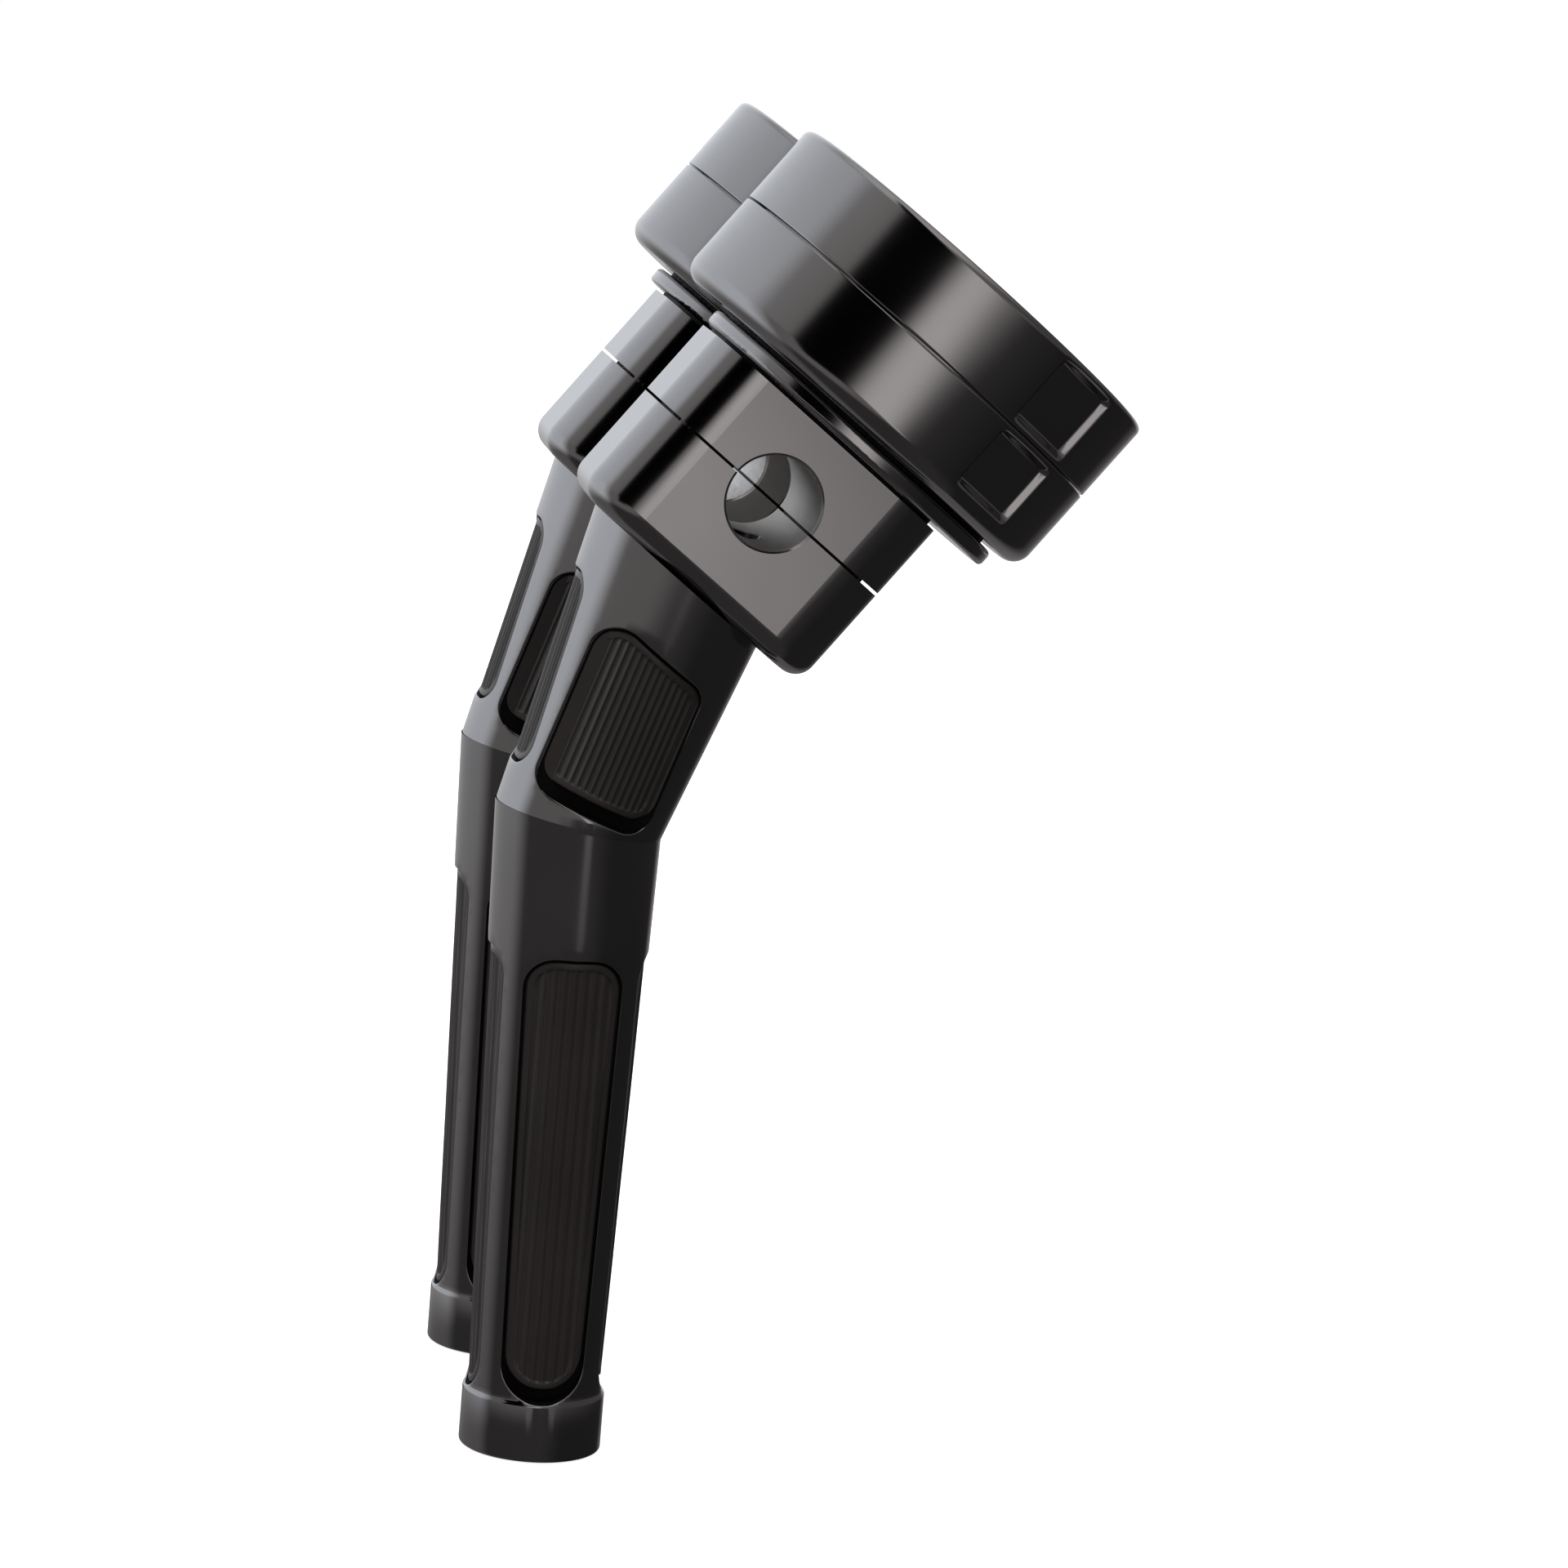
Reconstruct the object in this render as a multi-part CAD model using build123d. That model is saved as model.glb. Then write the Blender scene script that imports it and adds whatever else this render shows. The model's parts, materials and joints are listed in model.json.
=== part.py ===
from build123d import *
from math import cos, radians, sin, tan
import os

# Pair of pull-back handlebar risers with round instrument pods, in millimetres.
# Origin: midway between the two riser feet, on the plane they stand on.
# +Z runs up the straight lower stage of the posts, +X is the side the heads lean to
# (the rider's side), and Y is the line of the handlebar. Left is -Y, right is +Y.

# ---- driving dimensions --------------------------------------------------------------
RISER_SPACING = 101.6        # foot bolt to foot bolt
SIDES = {"left": -1, "right": 1}

# handlebar and split clamp
BAR_R = 12.7                 # 25.4 mm handlebar
BAR_X = 41.6                 # bar axis forward of the feet
BAR_Z = 267.1                # bar axis above the feet
HEAD_TILT = 37.5             # clamp normal from vertical, degrees
CLAMP_LENGTH = 79.0
CLAMP_DEPTH = 56.0
CLAMP_CORNER_R = 16.0
CLAMP_SHIFT = 0.7            # clamp centre from the bar axis, along the clamp
BASE_HEIGHT = 31.7           # bar axis down to the underside of the clamp base
CAP_HEIGHT = 22.9            # bar axis up to the top of the clamp cap
SPLIT_GAP = 0.8
SHIM_MARGIN = 5.5            # shim in the split, set in from the clamp's outline
SHIM_BORE_GAP = 0.8          # and from the bar bore
BASE_FILLET = 6.0
BORE_CHAMFER = 0.7

# riser post
FOOT_R = 19.5
FOOT_CHAMFER = 0.8
COLLAR_HEIGHT = 17.0
COLLAR_BLEND = 1.5
BEND_Z = 175.7
BEND_R = 22.7                # radius of the ball that both stages wrap at the bend
LOWER_TAPER = 1.36           # half angle of the lower stage, degrees
UPPER_LEAN = 18.0            # upper stage axis from vertical, degrees
UPPER_TAPER = 3.7            # half angle of the upper stage, degrees

# pockets and ribbed inserts
INSERT_SINK = 0.9            # insert crowns below the post surface
INSERT_GAP = 0.45            # dark line between insert and pocket wall
END_SLOT = 3.4               # open slot at an insert's lower end
POCKET_DEPTH = 5.6
RIB_PITCH = 2.7
RIB_WIDTH = 1.35
RIB_HEIGHT = 0.55
RIB_BORDER = 2.4             # plain rim round the ribs
LOWER_POCKET_LOW = 16.2      # lower end of the long pockets above the feet
OUTER_POCKET_SHARES = (0.58, 0.62)   # half widths, low and top, as shares of the radius there
FRONT_POCKET_SHARES = (0.5, 0.53)
LOW_ROUND = 0.96             # corner radius as a share of the half width, low end
TOP_ROUND = 0.64             # and top end
LOWER_POCKET_TOP = 35.7      # their upper end below the bend
UPPER_POCKET_TOP = 19.5      # slanted pocket's upper end below the clamp, along the post
UPPER_POCKET_REAR = 0.8      # its rear and front edges, as shares of the radius at the bend
UPPER_POCKET_FRONT = 0.68
UPPER_POCKET_LOWS = (4.5, 2.0)       # its rear and front corners above the bend
UPPER_POCKET_RADII = (6.5, 6.5, 6.5, 8.0)
UPPER_REAR_LOW = 8.0         # straight pocket at the rear, above the bend
UPPER_REAR_TOP = 7.5         # and below the clamp
UPPER_REAR_SHARE = 0.5       # its half width as a share of the radius at the bend

# bridge plate and pods
CAP_PAD = 1.0
PAD_MARGIN = 2.5
PLATE_T = 4.6
PLATE_R = 48.8               # disc under each pod
PLATE_SHIFT = 6.7            # disc centre from the bar axis, along the clamp
PLATE_EDGE_R = 1.4
WEB_HALF_WIDTH = 20.0
POD_R = 59.5
POD_GAP = 3.0                # clear gap between the two pods
POD_SHIFT = 3.7              # pod axis from the bar axis, along the clamp
POD_PAD = 1.0
POD_PAD_MARGIN = 4.0
PARTING_N = 55.8             # bar axis up to the parting line of the pod
POD_TOP_N = 79.9             # bar axis up to the rim of the bezel
PARTING_GAP = 0.5
POD_FILLET = 5.5
RIM_FILLET = 2.0
CUP_WALL = 5.0
CUP_FLOOR = 5.0
BEZEL_WALL = 5.0
SPIGOT_H = 5.0               # bezel locating spigot inside the cup
SPIGOT_T = 1.8
TURN_CLEARANCE = 0.3
WINDOW_ANGLE = 58.7          # recess centre, from the clamp direction to the outside
WINDOW_WIDTH = 22.0
WINDOW_LOW_N = 36.2
WINDOW_TOP_MARGIN = 2.6
WINDOW_DEPTH = 3.0

# instrument inside the pod
LENS_T = 3.0
LENS_SINK = 3.2              # lens face below the bezel rim
LIP_W = 3.2
LENS_GAP = 0.2
SEAL_T = 2.0
DIAL_GAP = 2.2               # dial edge to the bezel spigot
DIAL_T = 1.5
DIAL_RIM = 2.0
DIAL_DEPTH = 13.0            # dial below the lens
CAN_INSET = 2.0              # instrument case inside the dial edge
CAN_FLOOR_GAP = 3.4
POINTER_GAP = 1.6            # needle above the dial
POINTER_TIP_GAP = 11.0       # needle tip inside the dial edge
POINTER_TAIL = 11.0
POINTER_W = 1.5              # half width at the tail
POINTER_T = 1.0
POINTER_REST = 135.0         # zero of the scale, degrees from the clamp direction
HUB_R = 5.0
HUB_H = 2.6
SPINDLE_R = 1.0
SPINDLE_GRIP = 4.0           # spindle length inside the case

# fasteners
FIT = 0.05                   # radial clearance where a screw or pin sits in its hole
CLAMP_BOLT_R = 4.0
CLAMP_BOLT_HEAD_R = 6.5
CLAMP_BOLT_HEAD_H = 8.0
CLAMP_BOLT_U = 28.5
CLAMP_BOLT_Y = 16.5
CLAMP_BOLT_GRIP = 15.0       # thread length in the base
PLATE_SCREW_R = 2.5
PLATE_SCREW_HEAD_R = 4.4
PLATE_SCREW_HEAD_H = 2.8
PLATE_SCREW_U = 12.0
PLATE_SCREW_Y = 20.0
PLATE_SCREW_GRIP = 9.0
CUP_SCREW_R = 2.5
CUP_SCREW_HEAD_R = 4.2
CUP_SCREW_HEAD_H = 3.0
CUP_SCREW_Y = 21.2
CUP_SCREW_GAP = 1.2          # between its head and a plate screw's head, along the clamp
SADDLE_SCREW_R = 6.0
SADDLE_HEAD_R = 9.0
SADDLE_HEAD_H = 10.0
SADDLE_GRIP = 22.0
DOWEL_R = 2.5
DOWEL_L = 14.0
DOWEL_U = 15.0
HEX_DEPTH_SHARE = 0.5
FOOT_THREAD_R = 6.0          # wall radius of the M12 thread
FOOT_THREAD_L = 30.0
INSERT_R = 9.0
INSERT_L = 34.0
GROMMET_R = 4.5
GROMMET_LIP = 1.6
GROMMET_BORE = 2.4
GROMMET_FROM_CLAMP = 7.8     # cable hole from the clamps' inner faces, towards the middle

# ---- shared directions and planes ------------------------------------------------------
ALONG = Vector(cos(radians(HEAD_TILT)), 0, -sin(radians(HEAD_TILT)))
UP = Vector(sin(radians(HEAD_TILT)), 0, cos(radians(HEAD_TILT)))
POST_AXIS = Vector(sin(radians(UPPER_LEAN)), 0, cos(radians(UPPER_LEAN)))
POST_ACROSS = Vector(cos(radians(UPPER_LEAN)), 0, -sin(radians(UPPER_LEAN)))
POD_OFFSET = POD_R + POD_GAP / 2
PLATE_N = CAP_HEIGHT + CAP_PAD
POD_N = PLATE_N + PLATE_T + POD_PAD
SPIGOT_R = POD_R - CUP_WALL - TURN_CLEARANCE
LENS_R = POD_R - BEZEL_WALL - TURN_CLEARANCE - SPIGOT_T
DIAL_R = min(SPIGOT_R - SPIGOT_T, LENS_R) - DIAL_GAP
LENS_N = POD_TOP_N - LENS_SINK - LENS_T
DIAL_N = LENS_N - DIAL_DEPTH
REACH = 400.0                # larger than the part, for half-space cutters


def head(along=0.0, y=0.0, up=0.0):
    """Location in the clamp's own directions: along the clamp, along the bar, normal."""
    origin = Vector(BAR_X, y, BAR_Z) + ALONG * along + UP * up
    return Location(Plane(origin=origin, x_dir=ALONG, z_dir=UP))


def disc(radius, height, along, y, up):
    return head(along, y, up) * Cylinder(radius, height, align=(Align.CENTER, Align.CENTER, Align.MIN))


def hex_key(radius, depth):
    return extrude(RegularPolygon(radius, 6), amount=depth)


def socket_screw(shank_r, shank_l, head_r, head_h):
    """Socket head cap screw along +Z, underside of the head at zero."""
    low = (Align.CENTER, Align.CENTER, Align.MAX)
    high = (Align.CENTER, Align.CENTER, Align.MIN)
    screw = Cylinder(shank_r, shank_l, align=low) + Cylinder(head_r, head_h, align=high)
    socket = hex_key(head_r * 0.55, head_h * HEX_DEPTH_SHARE)
    return screw - Pos(0, 0, head_h * (1 - HEX_DEPTH_SHARE)) * socket


def write(name, shape):
    solids = shape.solids()
    body = solids[0] if len(solids) == 1 else Compound(children=list(solids))
    export_step(body, f"parts/{name}.step")
    print(f"{name:28s} {len(solids):2d} solid(s) {shape.volume:12.1f} mm3")


# ---- riser post ---------------------------------------------------------------------------
def stage_radius(taper, inset):
    """Radius of a stage square to its axis at the bend, where it wraps the ball."""
    return (BEND_R - inset) / cos(radians(taper))


def lower_radius(z, inset=0.0):
    return stage_radius(LOWER_TAPER, inset) - (BEND_Z - z) * tan(radians(LOWER_TAPER))


def upper_radius(run, inset=0.0):
    return stage_radius(UPPER_TAPER, inset) + run * tan(radians(UPPER_TAPER))


def outline_cross(side, inset):
    """Where the two stages' outlines cross in the XZ plane, on one side of the bend."""
    turn = side * radians(LOWER_TAPER)
    lower_dir = Vector(sin(turn), 0, cos(turn))
    lower_at = Vector(side * stage_radius(LOWER_TAPER, inset), 0, BEND_Z)
    turn = radians(UPPER_LEAN + side * UPPER_TAPER)
    upper_dir = Vector(sin(turn), 0, cos(turn))
    upper_at = Vector(0, 0, BEND_Z) + POST_ACROSS * (side * stage_radius(UPPER_TAPER, inset))
    gap = upper_at - lower_at
    step = (gap.X * upper_dir.Z - gap.Z * upper_dir.X) / (
        lower_dir.X * upper_dir.Z - lower_dir.Z * upper_dir.X
    )
    return lower_at + lower_dir * step


def mitre(inset=0.0):
    """Half-space cutter above the mitre plane: both stages meet it in one ellipse."""
    rear = outline_cross(-1, inset)
    front = outline_cross(1, inset)
    across = (front - rear).normalized()
    plane = Plane(origin=(rear + front) * 0.5, x_dir=across, z_dir=across.cross(Vector(0, 1, 0)))
    return Location(plane) * Box(REACH, REACH, REACH, align=(Align.CENTER, Align.CENTER, Align.MIN))


def above_post():
    return head(up=-BASE_HEIGHT) * Box(REACH, REACH, REACH, align=(Align.CENTER, Align.CENTER, Align.MIN))


def lower_stage(inset=0.0):
    """Straight stage of the post as a cone from the foot, cut at the mitre."""
    top = BEND_Z + 2 * BEND_R
    cone = Cone(
        lower_radius(0, inset), lower_radius(top, inset), top,
        align=(Align.CENTER, Align.CENTER, Align.MIN),
    )
    return cone - mitre(inset)


def upper_stage(inset=0.0):
    """Leaning stage as a cone through the bend, cut at the mitre and under the clamp."""
    low = -2 * BEND_R
    high = 2 * (BAR_Z - BEND_Z)
    axis = Plane(origin=Vector(0, 0, BEND_Z) + POST_AXIS * low, x_dir=POST_ACROSS, z_dir=POST_AXIS)
    cone = Location(axis) * Cone(
        upper_radius(low, inset), upper_radius(high, inset), high - low,
        align=(Align.CENTER, Align.CENTER, Align.MIN),
    )
    return (cone & mitre(inset)) - above_post()


# A pocket is drawn on a plane that lies against the post: x across, y up the post.
def lower_plane(turn):
    """Plane against the lower stage at its middle height, facing away at this turn."""
    out = Vector(cos(radians(turn)), sin(radians(turn)), 0)
    middle = BEND_Z / 2
    lean = radians(LOWER_TAPER)
    up = Vector(0, 0, cos(lean)) + out * sin(lean)
    normal = out * cos(lean) - Vector(0, 0, sin(lean))
    origin = Vector(0, 0, middle) + out * lower_radius(middle)
    return Plane(origin=origin, x_dir=up.cross(normal), z_dir=normal)


def upper_plane(turn):
    """Plane against the upper stage at the bend's height, facing away at this turn."""
    out = POST_ACROSS * cos(radians(turn)) + Vector(0, 1, 0) * sin(radians(turn))
    lean = radians(UPPER_TAPER)
    up = POST_AXIS * cos(lean) + out * sin(lean)
    normal = out * cos(lean) - POST_AXIS * sin(lean)
    origin = Vector(0, 0, BEND_Z) + out * stage_radius(UPPER_TAPER, 0)
    return Plane(origin=origin, x_dir=up.cross(normal), z_dir=normal)


def rounded(points, radii, shrink=0.0, raise_low=0.0):
    """Closed outline through four corners, the two lower ones first, with a radius at each."""
    corners = [(x, y + raise_low) for x, y in points[:2]] + points[2:]
    outline = make_face(Polyline(*corners, close=True))
    for corner, radius in zip(corners, radii):
        near = outline.vertices().sort_by_distance(Vector(*corner, 0))[0]
        outline = fillet(near, radius)
    return offset(outline, -shrink) if shrink else outline


def lower_pocket(low_share, top_share):
    """Long pocket: a full round at its lower end, rounded corners at its top."""
    low = LOWER_POCKET_LOW - BEND_Z / 2
    top = BEND_Z / 2 - LOWER_POCKET_TOP
    low_half = low_share * lower_radius(LOWER_POCKET_LOW)
    top_half = top_share * lower_radius(BEND_Z - LOWER_POCKET_TOP)
    return {
        "points": [(-low_half, low), (low_half, low), (top_half, top), (-top_half, top)],
        "radii": [LOW_ROUND * low_half] * 2 + [TOP_ROUND * top_half] * 2,
    }


def clamp_run(x):
    """How far up the upper stage the clamp's underside is, at x across its outer side."""
    middle = (Vector(BAR_X, 0, BAR_Z) - UP * BASE_HEIGHT - Vector(0, 0, BEND_Z)).dot(UP)
    return (middle - x * POST_ACROSS.dot(UP)) / POST_AXIS.dot(UP)


def upper_outer_pocket(flip):
    """Pocket with a slanted top, parallel to the underside of the clamp."""
    left = -UPPER_POCKET_REAR * stage_radius(UPPER_TAPER, 0)
    right = UPPER_POCKET_FRONT * stage_radius(UPPER_TAPER, 0)
    left_low, right_low = UPPER_POCKET_LOWS
    top_left = clamp_run(left) - UPPER_POCKET_TOP
    top_right = clamp_run(right) - UPPER_POCKET_TOP
    points = [(left, left_low), (right, right_low), (right, top_right), (left, top_left)]
    radii = UPPER_POCKET_RADII
    if flip:
        points = [(-x, y) for x, y in points]
        points = [points[1], points[0], points[3], points[2]]
        radii = [radii[1], radii[0], radii[3], radii[2]]
    return {"points": points, "radii": radii}


def upper_rear_pocket():
    half = UPPER_REAR_SHARE * stage_radius(UPPER_TAPER, 0)
    low, top = UPPER_REAR_LOW, clamp_run(0) - UPPER_REAR_TOP
    return {
        "points": [(-half, low), (half, low), (half, top), (-half, top)],
        "radii": [TOP_ROUND * half] * 4,
    }


POCKETS = {
    "lower_insert_outer": ("lower", -90, lower_pocket(*OUTER_POCKET_SHARES)),
    "lower_insert_inner": ("lower", 90, lower_pocket(*OUTER_POCKET_SHARES)),
    "lower_insert_front": ("lower", 0, lower_pocket(*FRONT_POCKET_SHARES)),
    "lower_insert_rear": ("lower", 180, lower_pocket(*FRONT_POCKET_SHARES)),
    "upper_insert_outer": ("upper", -90, upper_outer_pocket(False)),
    "upper_insert_inner": ("upper", 90, upper_outer_pocket(True)),
    "upper_insert_rear": ("upper", 180, upper_rear_pocket()),
}


def pocket_cutter(stage, turn, shape):
    plane = lower_plane(turn) if stage == "lower" else upper_plane(turn)
    outline = rounded(**shape)
    return Location(plane) * Pos(0, 0, -POCKET_DEPTH) * extrude(outline, amount=POCKET_DEPTH + BEND_R)


def ribbed_insert(stage, turn, shape):
    """Insert that fills a pocket but for a thin gap and an open slot at its lower end."""
    plane = lower_plane(turn) if stage == "lower" else upper_plane(turn)
    skin = lower_stage if stage == "lower" else upper_stage
    outline = rounded(**shape, shrink=INSERT_GAP, raise_low=END_SLOT)
    inner = rounded(**shape, shrink=INSERT_GAP + RIB_BORDER, raise_low=END_SLOT)
    ribs = Sketch()
    half = int(inner.bounding_box().max.X / RIB_PITCH)
    height = inner.bounding_box().size.Y
    middle = inner.bounding_box().center().Y
    for step in range(-half, half + 1):
        ribs += Pos(step * RIB_PITCH, middle) * Rectangle(RIB_WIDTH, height)
    grooves = inner - ribs
    depth = POCKET_DEPTH + BEND_R
    place = Location(plane) * Pos(0, 0, -POCKET_DEPTH)
    block = (place * extrude(outline, amount=depth)) & skin(INSERT_SINK)
    floor = skin(INSERT_SINK + RIB_HEIGHT)
    return block - ((place * extrude(grooves, amount=depth)) - floor)


def bare_post():
    low = (Align.CENTER, Align.CENTER, Align.MIN)
    post = (lower_stage() - Box(REACH, REACH, COLLAR_HEIGHT, align=low)) + upper_stage()
    collar = Cylinder(FOOT_R, COLLAR_HEIGHT - COLLAR_BLEND, align=low)
    blend = Pos(0, 0, COLLAR_HEIGHT - COLLAR_BLEND) * Cone(
        FOOT_R, lower_radius(COLLAR_HEIGHT), COLLAR_BLEND, align=low
    )
    foot = chamfer(collar.edges().sort_by(Axis.Z)[0], FOOT_CHAMFER)
    return post + foot + blend


def saddle_holes(y):
    """Saddle screw and dowel holes, from the underside of the clamp base downwards."""
    screw = disc(SADDLE_SCREW_R + FIT, SADDLE_GRIP + 1, 0, y, -BASE_HEIGHT - SADDLE_GRIP - 1)
    dowel = disc(DOWEL_R + FIT, DOWEL_L / 2 + 0.5, DOWEL_U, y, -BASE_HEIGHT - DOWEL_L / 2 - 0.5)
    return screw + dowel


# ---- clamp -----------------------------------------------------------------------------------
def clamp_block(y, low, high, grow=0.0):
    size = (CLAMP_LENGTH + 2 * grow, CLAMP_DEPTH + 2 * grow)
    plan = RectangleRounded(*size, CLAMP_CORNER_R + grow)
    return head(CLAMP_SHIFT, y, low) * extrude(plan, amount=high - low)


def bar_cutter(y):
    """Bar bore with a small chamfer at each mouth."""
    length = CLAMP_DEPTH + 2
    turned = head(0, y, 0) * Rot(90, 0, 0)
    bore = turned * Cylinder(BAR_R, length)
    for end in (-1, 1):
        mouth = Cone(
            BAR_R, BAR_R + 2 * BORE_CHAMFER, 2 * BORE_CHAMFER,
            align=(Align.CENTER, Align.CENTER, Align.MIN),
        )
        flip = Rot(0 if end > 0 else 180, 0, 0)
        bore += turned * flip * Pos(0, 0, CLAMP_DEPTH / 2 - BORE_CHAMFER) * mouth
    return bore


def clamp_bolt_places():
    return [
        (CLAMP_SHIFT + a * CLAMP_BOLT_U, b * CLAMP_BOLT_Y) for a in (-1, 1) for b in (-1, 1)
    ]


def clamp_base(y):
    block = clamp_block(y, -BASE_HEIGHT, -SPLIT_GAP / 2)
    under = block.faces().sort_by(Axis((0, 0, 0), UP))[0]
    block = fillet(under.edges(), BASE_FILLET) - bar_cutter(y)
    block -= disc(SADDLE_SCREW_R + 4 * FIT, BASE_HEIGHT, 0, y, -BASE_HEIGHT)
    seat = -BAR_R - 1.0 - SADDLE_HEAD_H
    block -= disc(SADDLE_HEAD_R + 4 * FIT, BAR_R + SADDLE_HEAD_H, 0, y, seat)
    block -= disc(DOWEL_R + FIT, DOWEL_L / 2 + 0.5, DOWEL_U, y, -BASE_HEIGHT)
    for along, across in clamp_bolt_places():
        depth = CLAMP_BOLT_GRIP + 2
        block -= disc(CLAMP_BOLT_R + FIT, depth, along, y + across, -depth)
    return block


def clamp_cap(y):
    block = clamp_block(y, SPLIT_GAP / 2, CAP_HEIGHT) - bar_cutter(y)
    for along, across in clamp_bolt_places():
        block -= disc(CLAMP_BOLT_R + 4 * FIT, CAP_HEIGHT, along, y + across, 0)
        sunk = CLAMP_BOLT_HEAD_H + 0.5
        block -= disc(CLAMP_BOLT_HEAD_R + 4 * FIT, sunk, along, y + across, CAP_HEIGHT - sunk)
    for along, across in plate_screw_places():
        depth = PLATE_SCREW_GRIP + 1
        block -= disc(PLATE_SCREW_R + FIT, depth, along, y + across, CAP_HEIGHT - depth)
    return block


def clamp_shim(y):
    """Thin shim in the split on each side of the bar, with the clamp bolts through it."""
    shim = clamp_block(y, -SPLIT_GAP / 2, SPLIT_GAP / 2, grow=-SHIM_MARGIN)
    shim -= head(0, y) * Box(2 * (BAR_R + SHIM_BORE_GAP), CLAMP_DEPTH, 2 * SPLIT_GAP)
    for along, across in clamp_bolt_places():
        shim -= disc(CLAMP_BOLT_R + 4 * FIT, 2 * SPLIT_GAP, along, y + across, -SPLIT_GAP)
    return shim


def clamp_bolts(y):
    sunk = CLAMP_BOLT_HEAD_H + 0.5
    seat = CAP_HEIGHT - sunk
    bolt = socket_screw(CLAMP_BOLT_R, seat + CLAMP_BOLT_GRIP, CLAMP_BOLT_HEAD_R, CLAMP_BOLT_HEAD_H)
    return Compound([head(a, y + b, seat) * bolt for a, b in clamp_bolt_places()])


def saddle_screw(y):
    seat = -BAR_R - 1.0 - SADDLE_HEAD_H
    length = BASE_HEIGHT + seat + SADDLE_GRIP
    return head(0, y, seat) * socket_screw(SADDLE_SCREW_R, length, SADDLE_HEAD_R, SADDLE_HEAD_H)


def saddle_dowel(y):
    pin = chamfer(Cylinder(DOWEL_R, DOWEL_L).edges().filter_by(GeomType.CIRCLE), 0.4)
    return head(DOWEL_U, y, -BASE_HEIGHT) * pin


# ---- bridge plate and its fasteners -------------------------------------------------------------
def plate_screw_places():
    return [(a * PLATE_SCREW_U, b * PLATE_SCREW_Y) for a in (-1, 1) for b in (-1, 1)]


def cup_screw_places(side):
    """Four screws of a pod, beyond the plate screws along the clamp, as (along, y)."""
    step = PLATE_SCREW_U + PLATE_SCREW_HEAD_R + CUP_SCREW_HEAD_R + CUP_SCREW_GAP
    return [(a * step, side * POD_OFFSET + b * CUP_SCREW_Y) for a in (-1, 1) for b in (-1, 1)]


def grommet_y(side):
    return side * (RISER_SPACING / 2 - CLAMP_DEPTH / 2 - GROMMET_FROM_CLAMP)


def cap_pad(y):
    pad = clamp_block(y, CAP_HEIGHT, PLATE_N, grow=-PAD_MARGIN)
    for along, across in plate_screw_places():
        pad -= disc(PLATE_SCREW_R + 0.5, 3 * CAP_PAD, along, y + across, CAP_HEIGHT - CAP_PAD)
    return pad


def bridge_plate():
    """One plate over both clamps: a disc under each pod, joined by a web between them."""
    low_end = (Align.CENTER, Align.CENTER, Align.MIN)
    web = Box(2 * WEB_HALF_WIDTH, 2 * POD_OFFSET, PLATE_T, align=low_end)
    shape = fillet(web.edges().filter_by(Axis.Y), PLATE_EDGE_R)
    under_pod = Cylinder(PLATE_R, PLATE_T, align=low_end)
    under_pod = fillet(under_pod.edges().filter_by(GeomType.CIRCLE), PLATE_EDGE_R)
    for side in SIDES.values():
        shape += Pos(PLATE_SHIFT, side * POD_OFFSET) * under_pod
    plate = head(up=PLATE_N) * shape
    low = PLATE_N - 1
    for side in SIDES.values():
        riser_y = side * RISER_SPACING / 2
        for along, across in plate_screw_places():
            plate -= disc(PLATE_SCREW_R + 4 * FIT, PLATE_T + 2, along, riser_y + across, low)
            seat = PLATE_N + PLATE_T - PLATE_SCREW_HEAD_H - 0.2
            plate -= disc(PLATE_SCREW_HEAD_R + 0.2, PLATE_T, along, riser_y + across, seat)
        for along, across in cup_screw_places(side):
            plate -= disc(CUP_SCREW_R + FIT, PLATE_T + 2, along, across, low)
        plate -= disc(GROMMET_R, PLATE_T + 2, 0, grommet_y(side), low)
    return plate


def plate_screws(y):
    seat = PLATE_N + PLATE_T - PLATE_SCREW_HEAD_H - 0.2
    length = seat - CAP_HEIGHT + PLATE_SCREW_GRIP
    screw = socket_screw(PLATE_SCREW_R, length, PLATE_SCREW_HEAD_R, PLATE_SCREW_HEAD_H)
    return Compound([head(a, y + b, seat) * screw for a, b in plate_screw_places()])


# ---- pod -------------------------------------------------------------------------------------------
def pod_pad(side):
    """Thin seal between the plate and the pod, set in from the plate's edge."""
    y = side * POD_OFFSET
    pad = disc(PLATE_R - POD_PAD_MARGIN, POD_PAD, PLATE_SHIFT, y, PLATE_N + PLATE_T)
    for along, across in cup_screw_places(side):
        pad -= disc(CUP_SCREW_R + 0.5, 3 * POD_PAD, along, across, POD_N - 2 * POD_PAD)
    return pad - disc(GROMMET_R, 3 * POD_PAD, 0, grommet_y(side), POD_N - 2 * POD_PAD)


def window(side, low, high):
    """Flat rectangular recess in the pod wall with rounded edges, on the rider's outer side."""
    turn = side * WINDOW_ANGLE
    reach = POD_R - WINDOW_DEPTH
    box = Box(
        4 * WINDOW_DEPTH, WINDOW_WIDTH, high - low, align=(Align.MIN, Align.CENTER, Align.MIN)
    )
    return head(POD_SHIFT, side * POD_OFFSET, low) * Rot(0, 0, turn) * Pos(reach, 0, 0) * box


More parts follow.
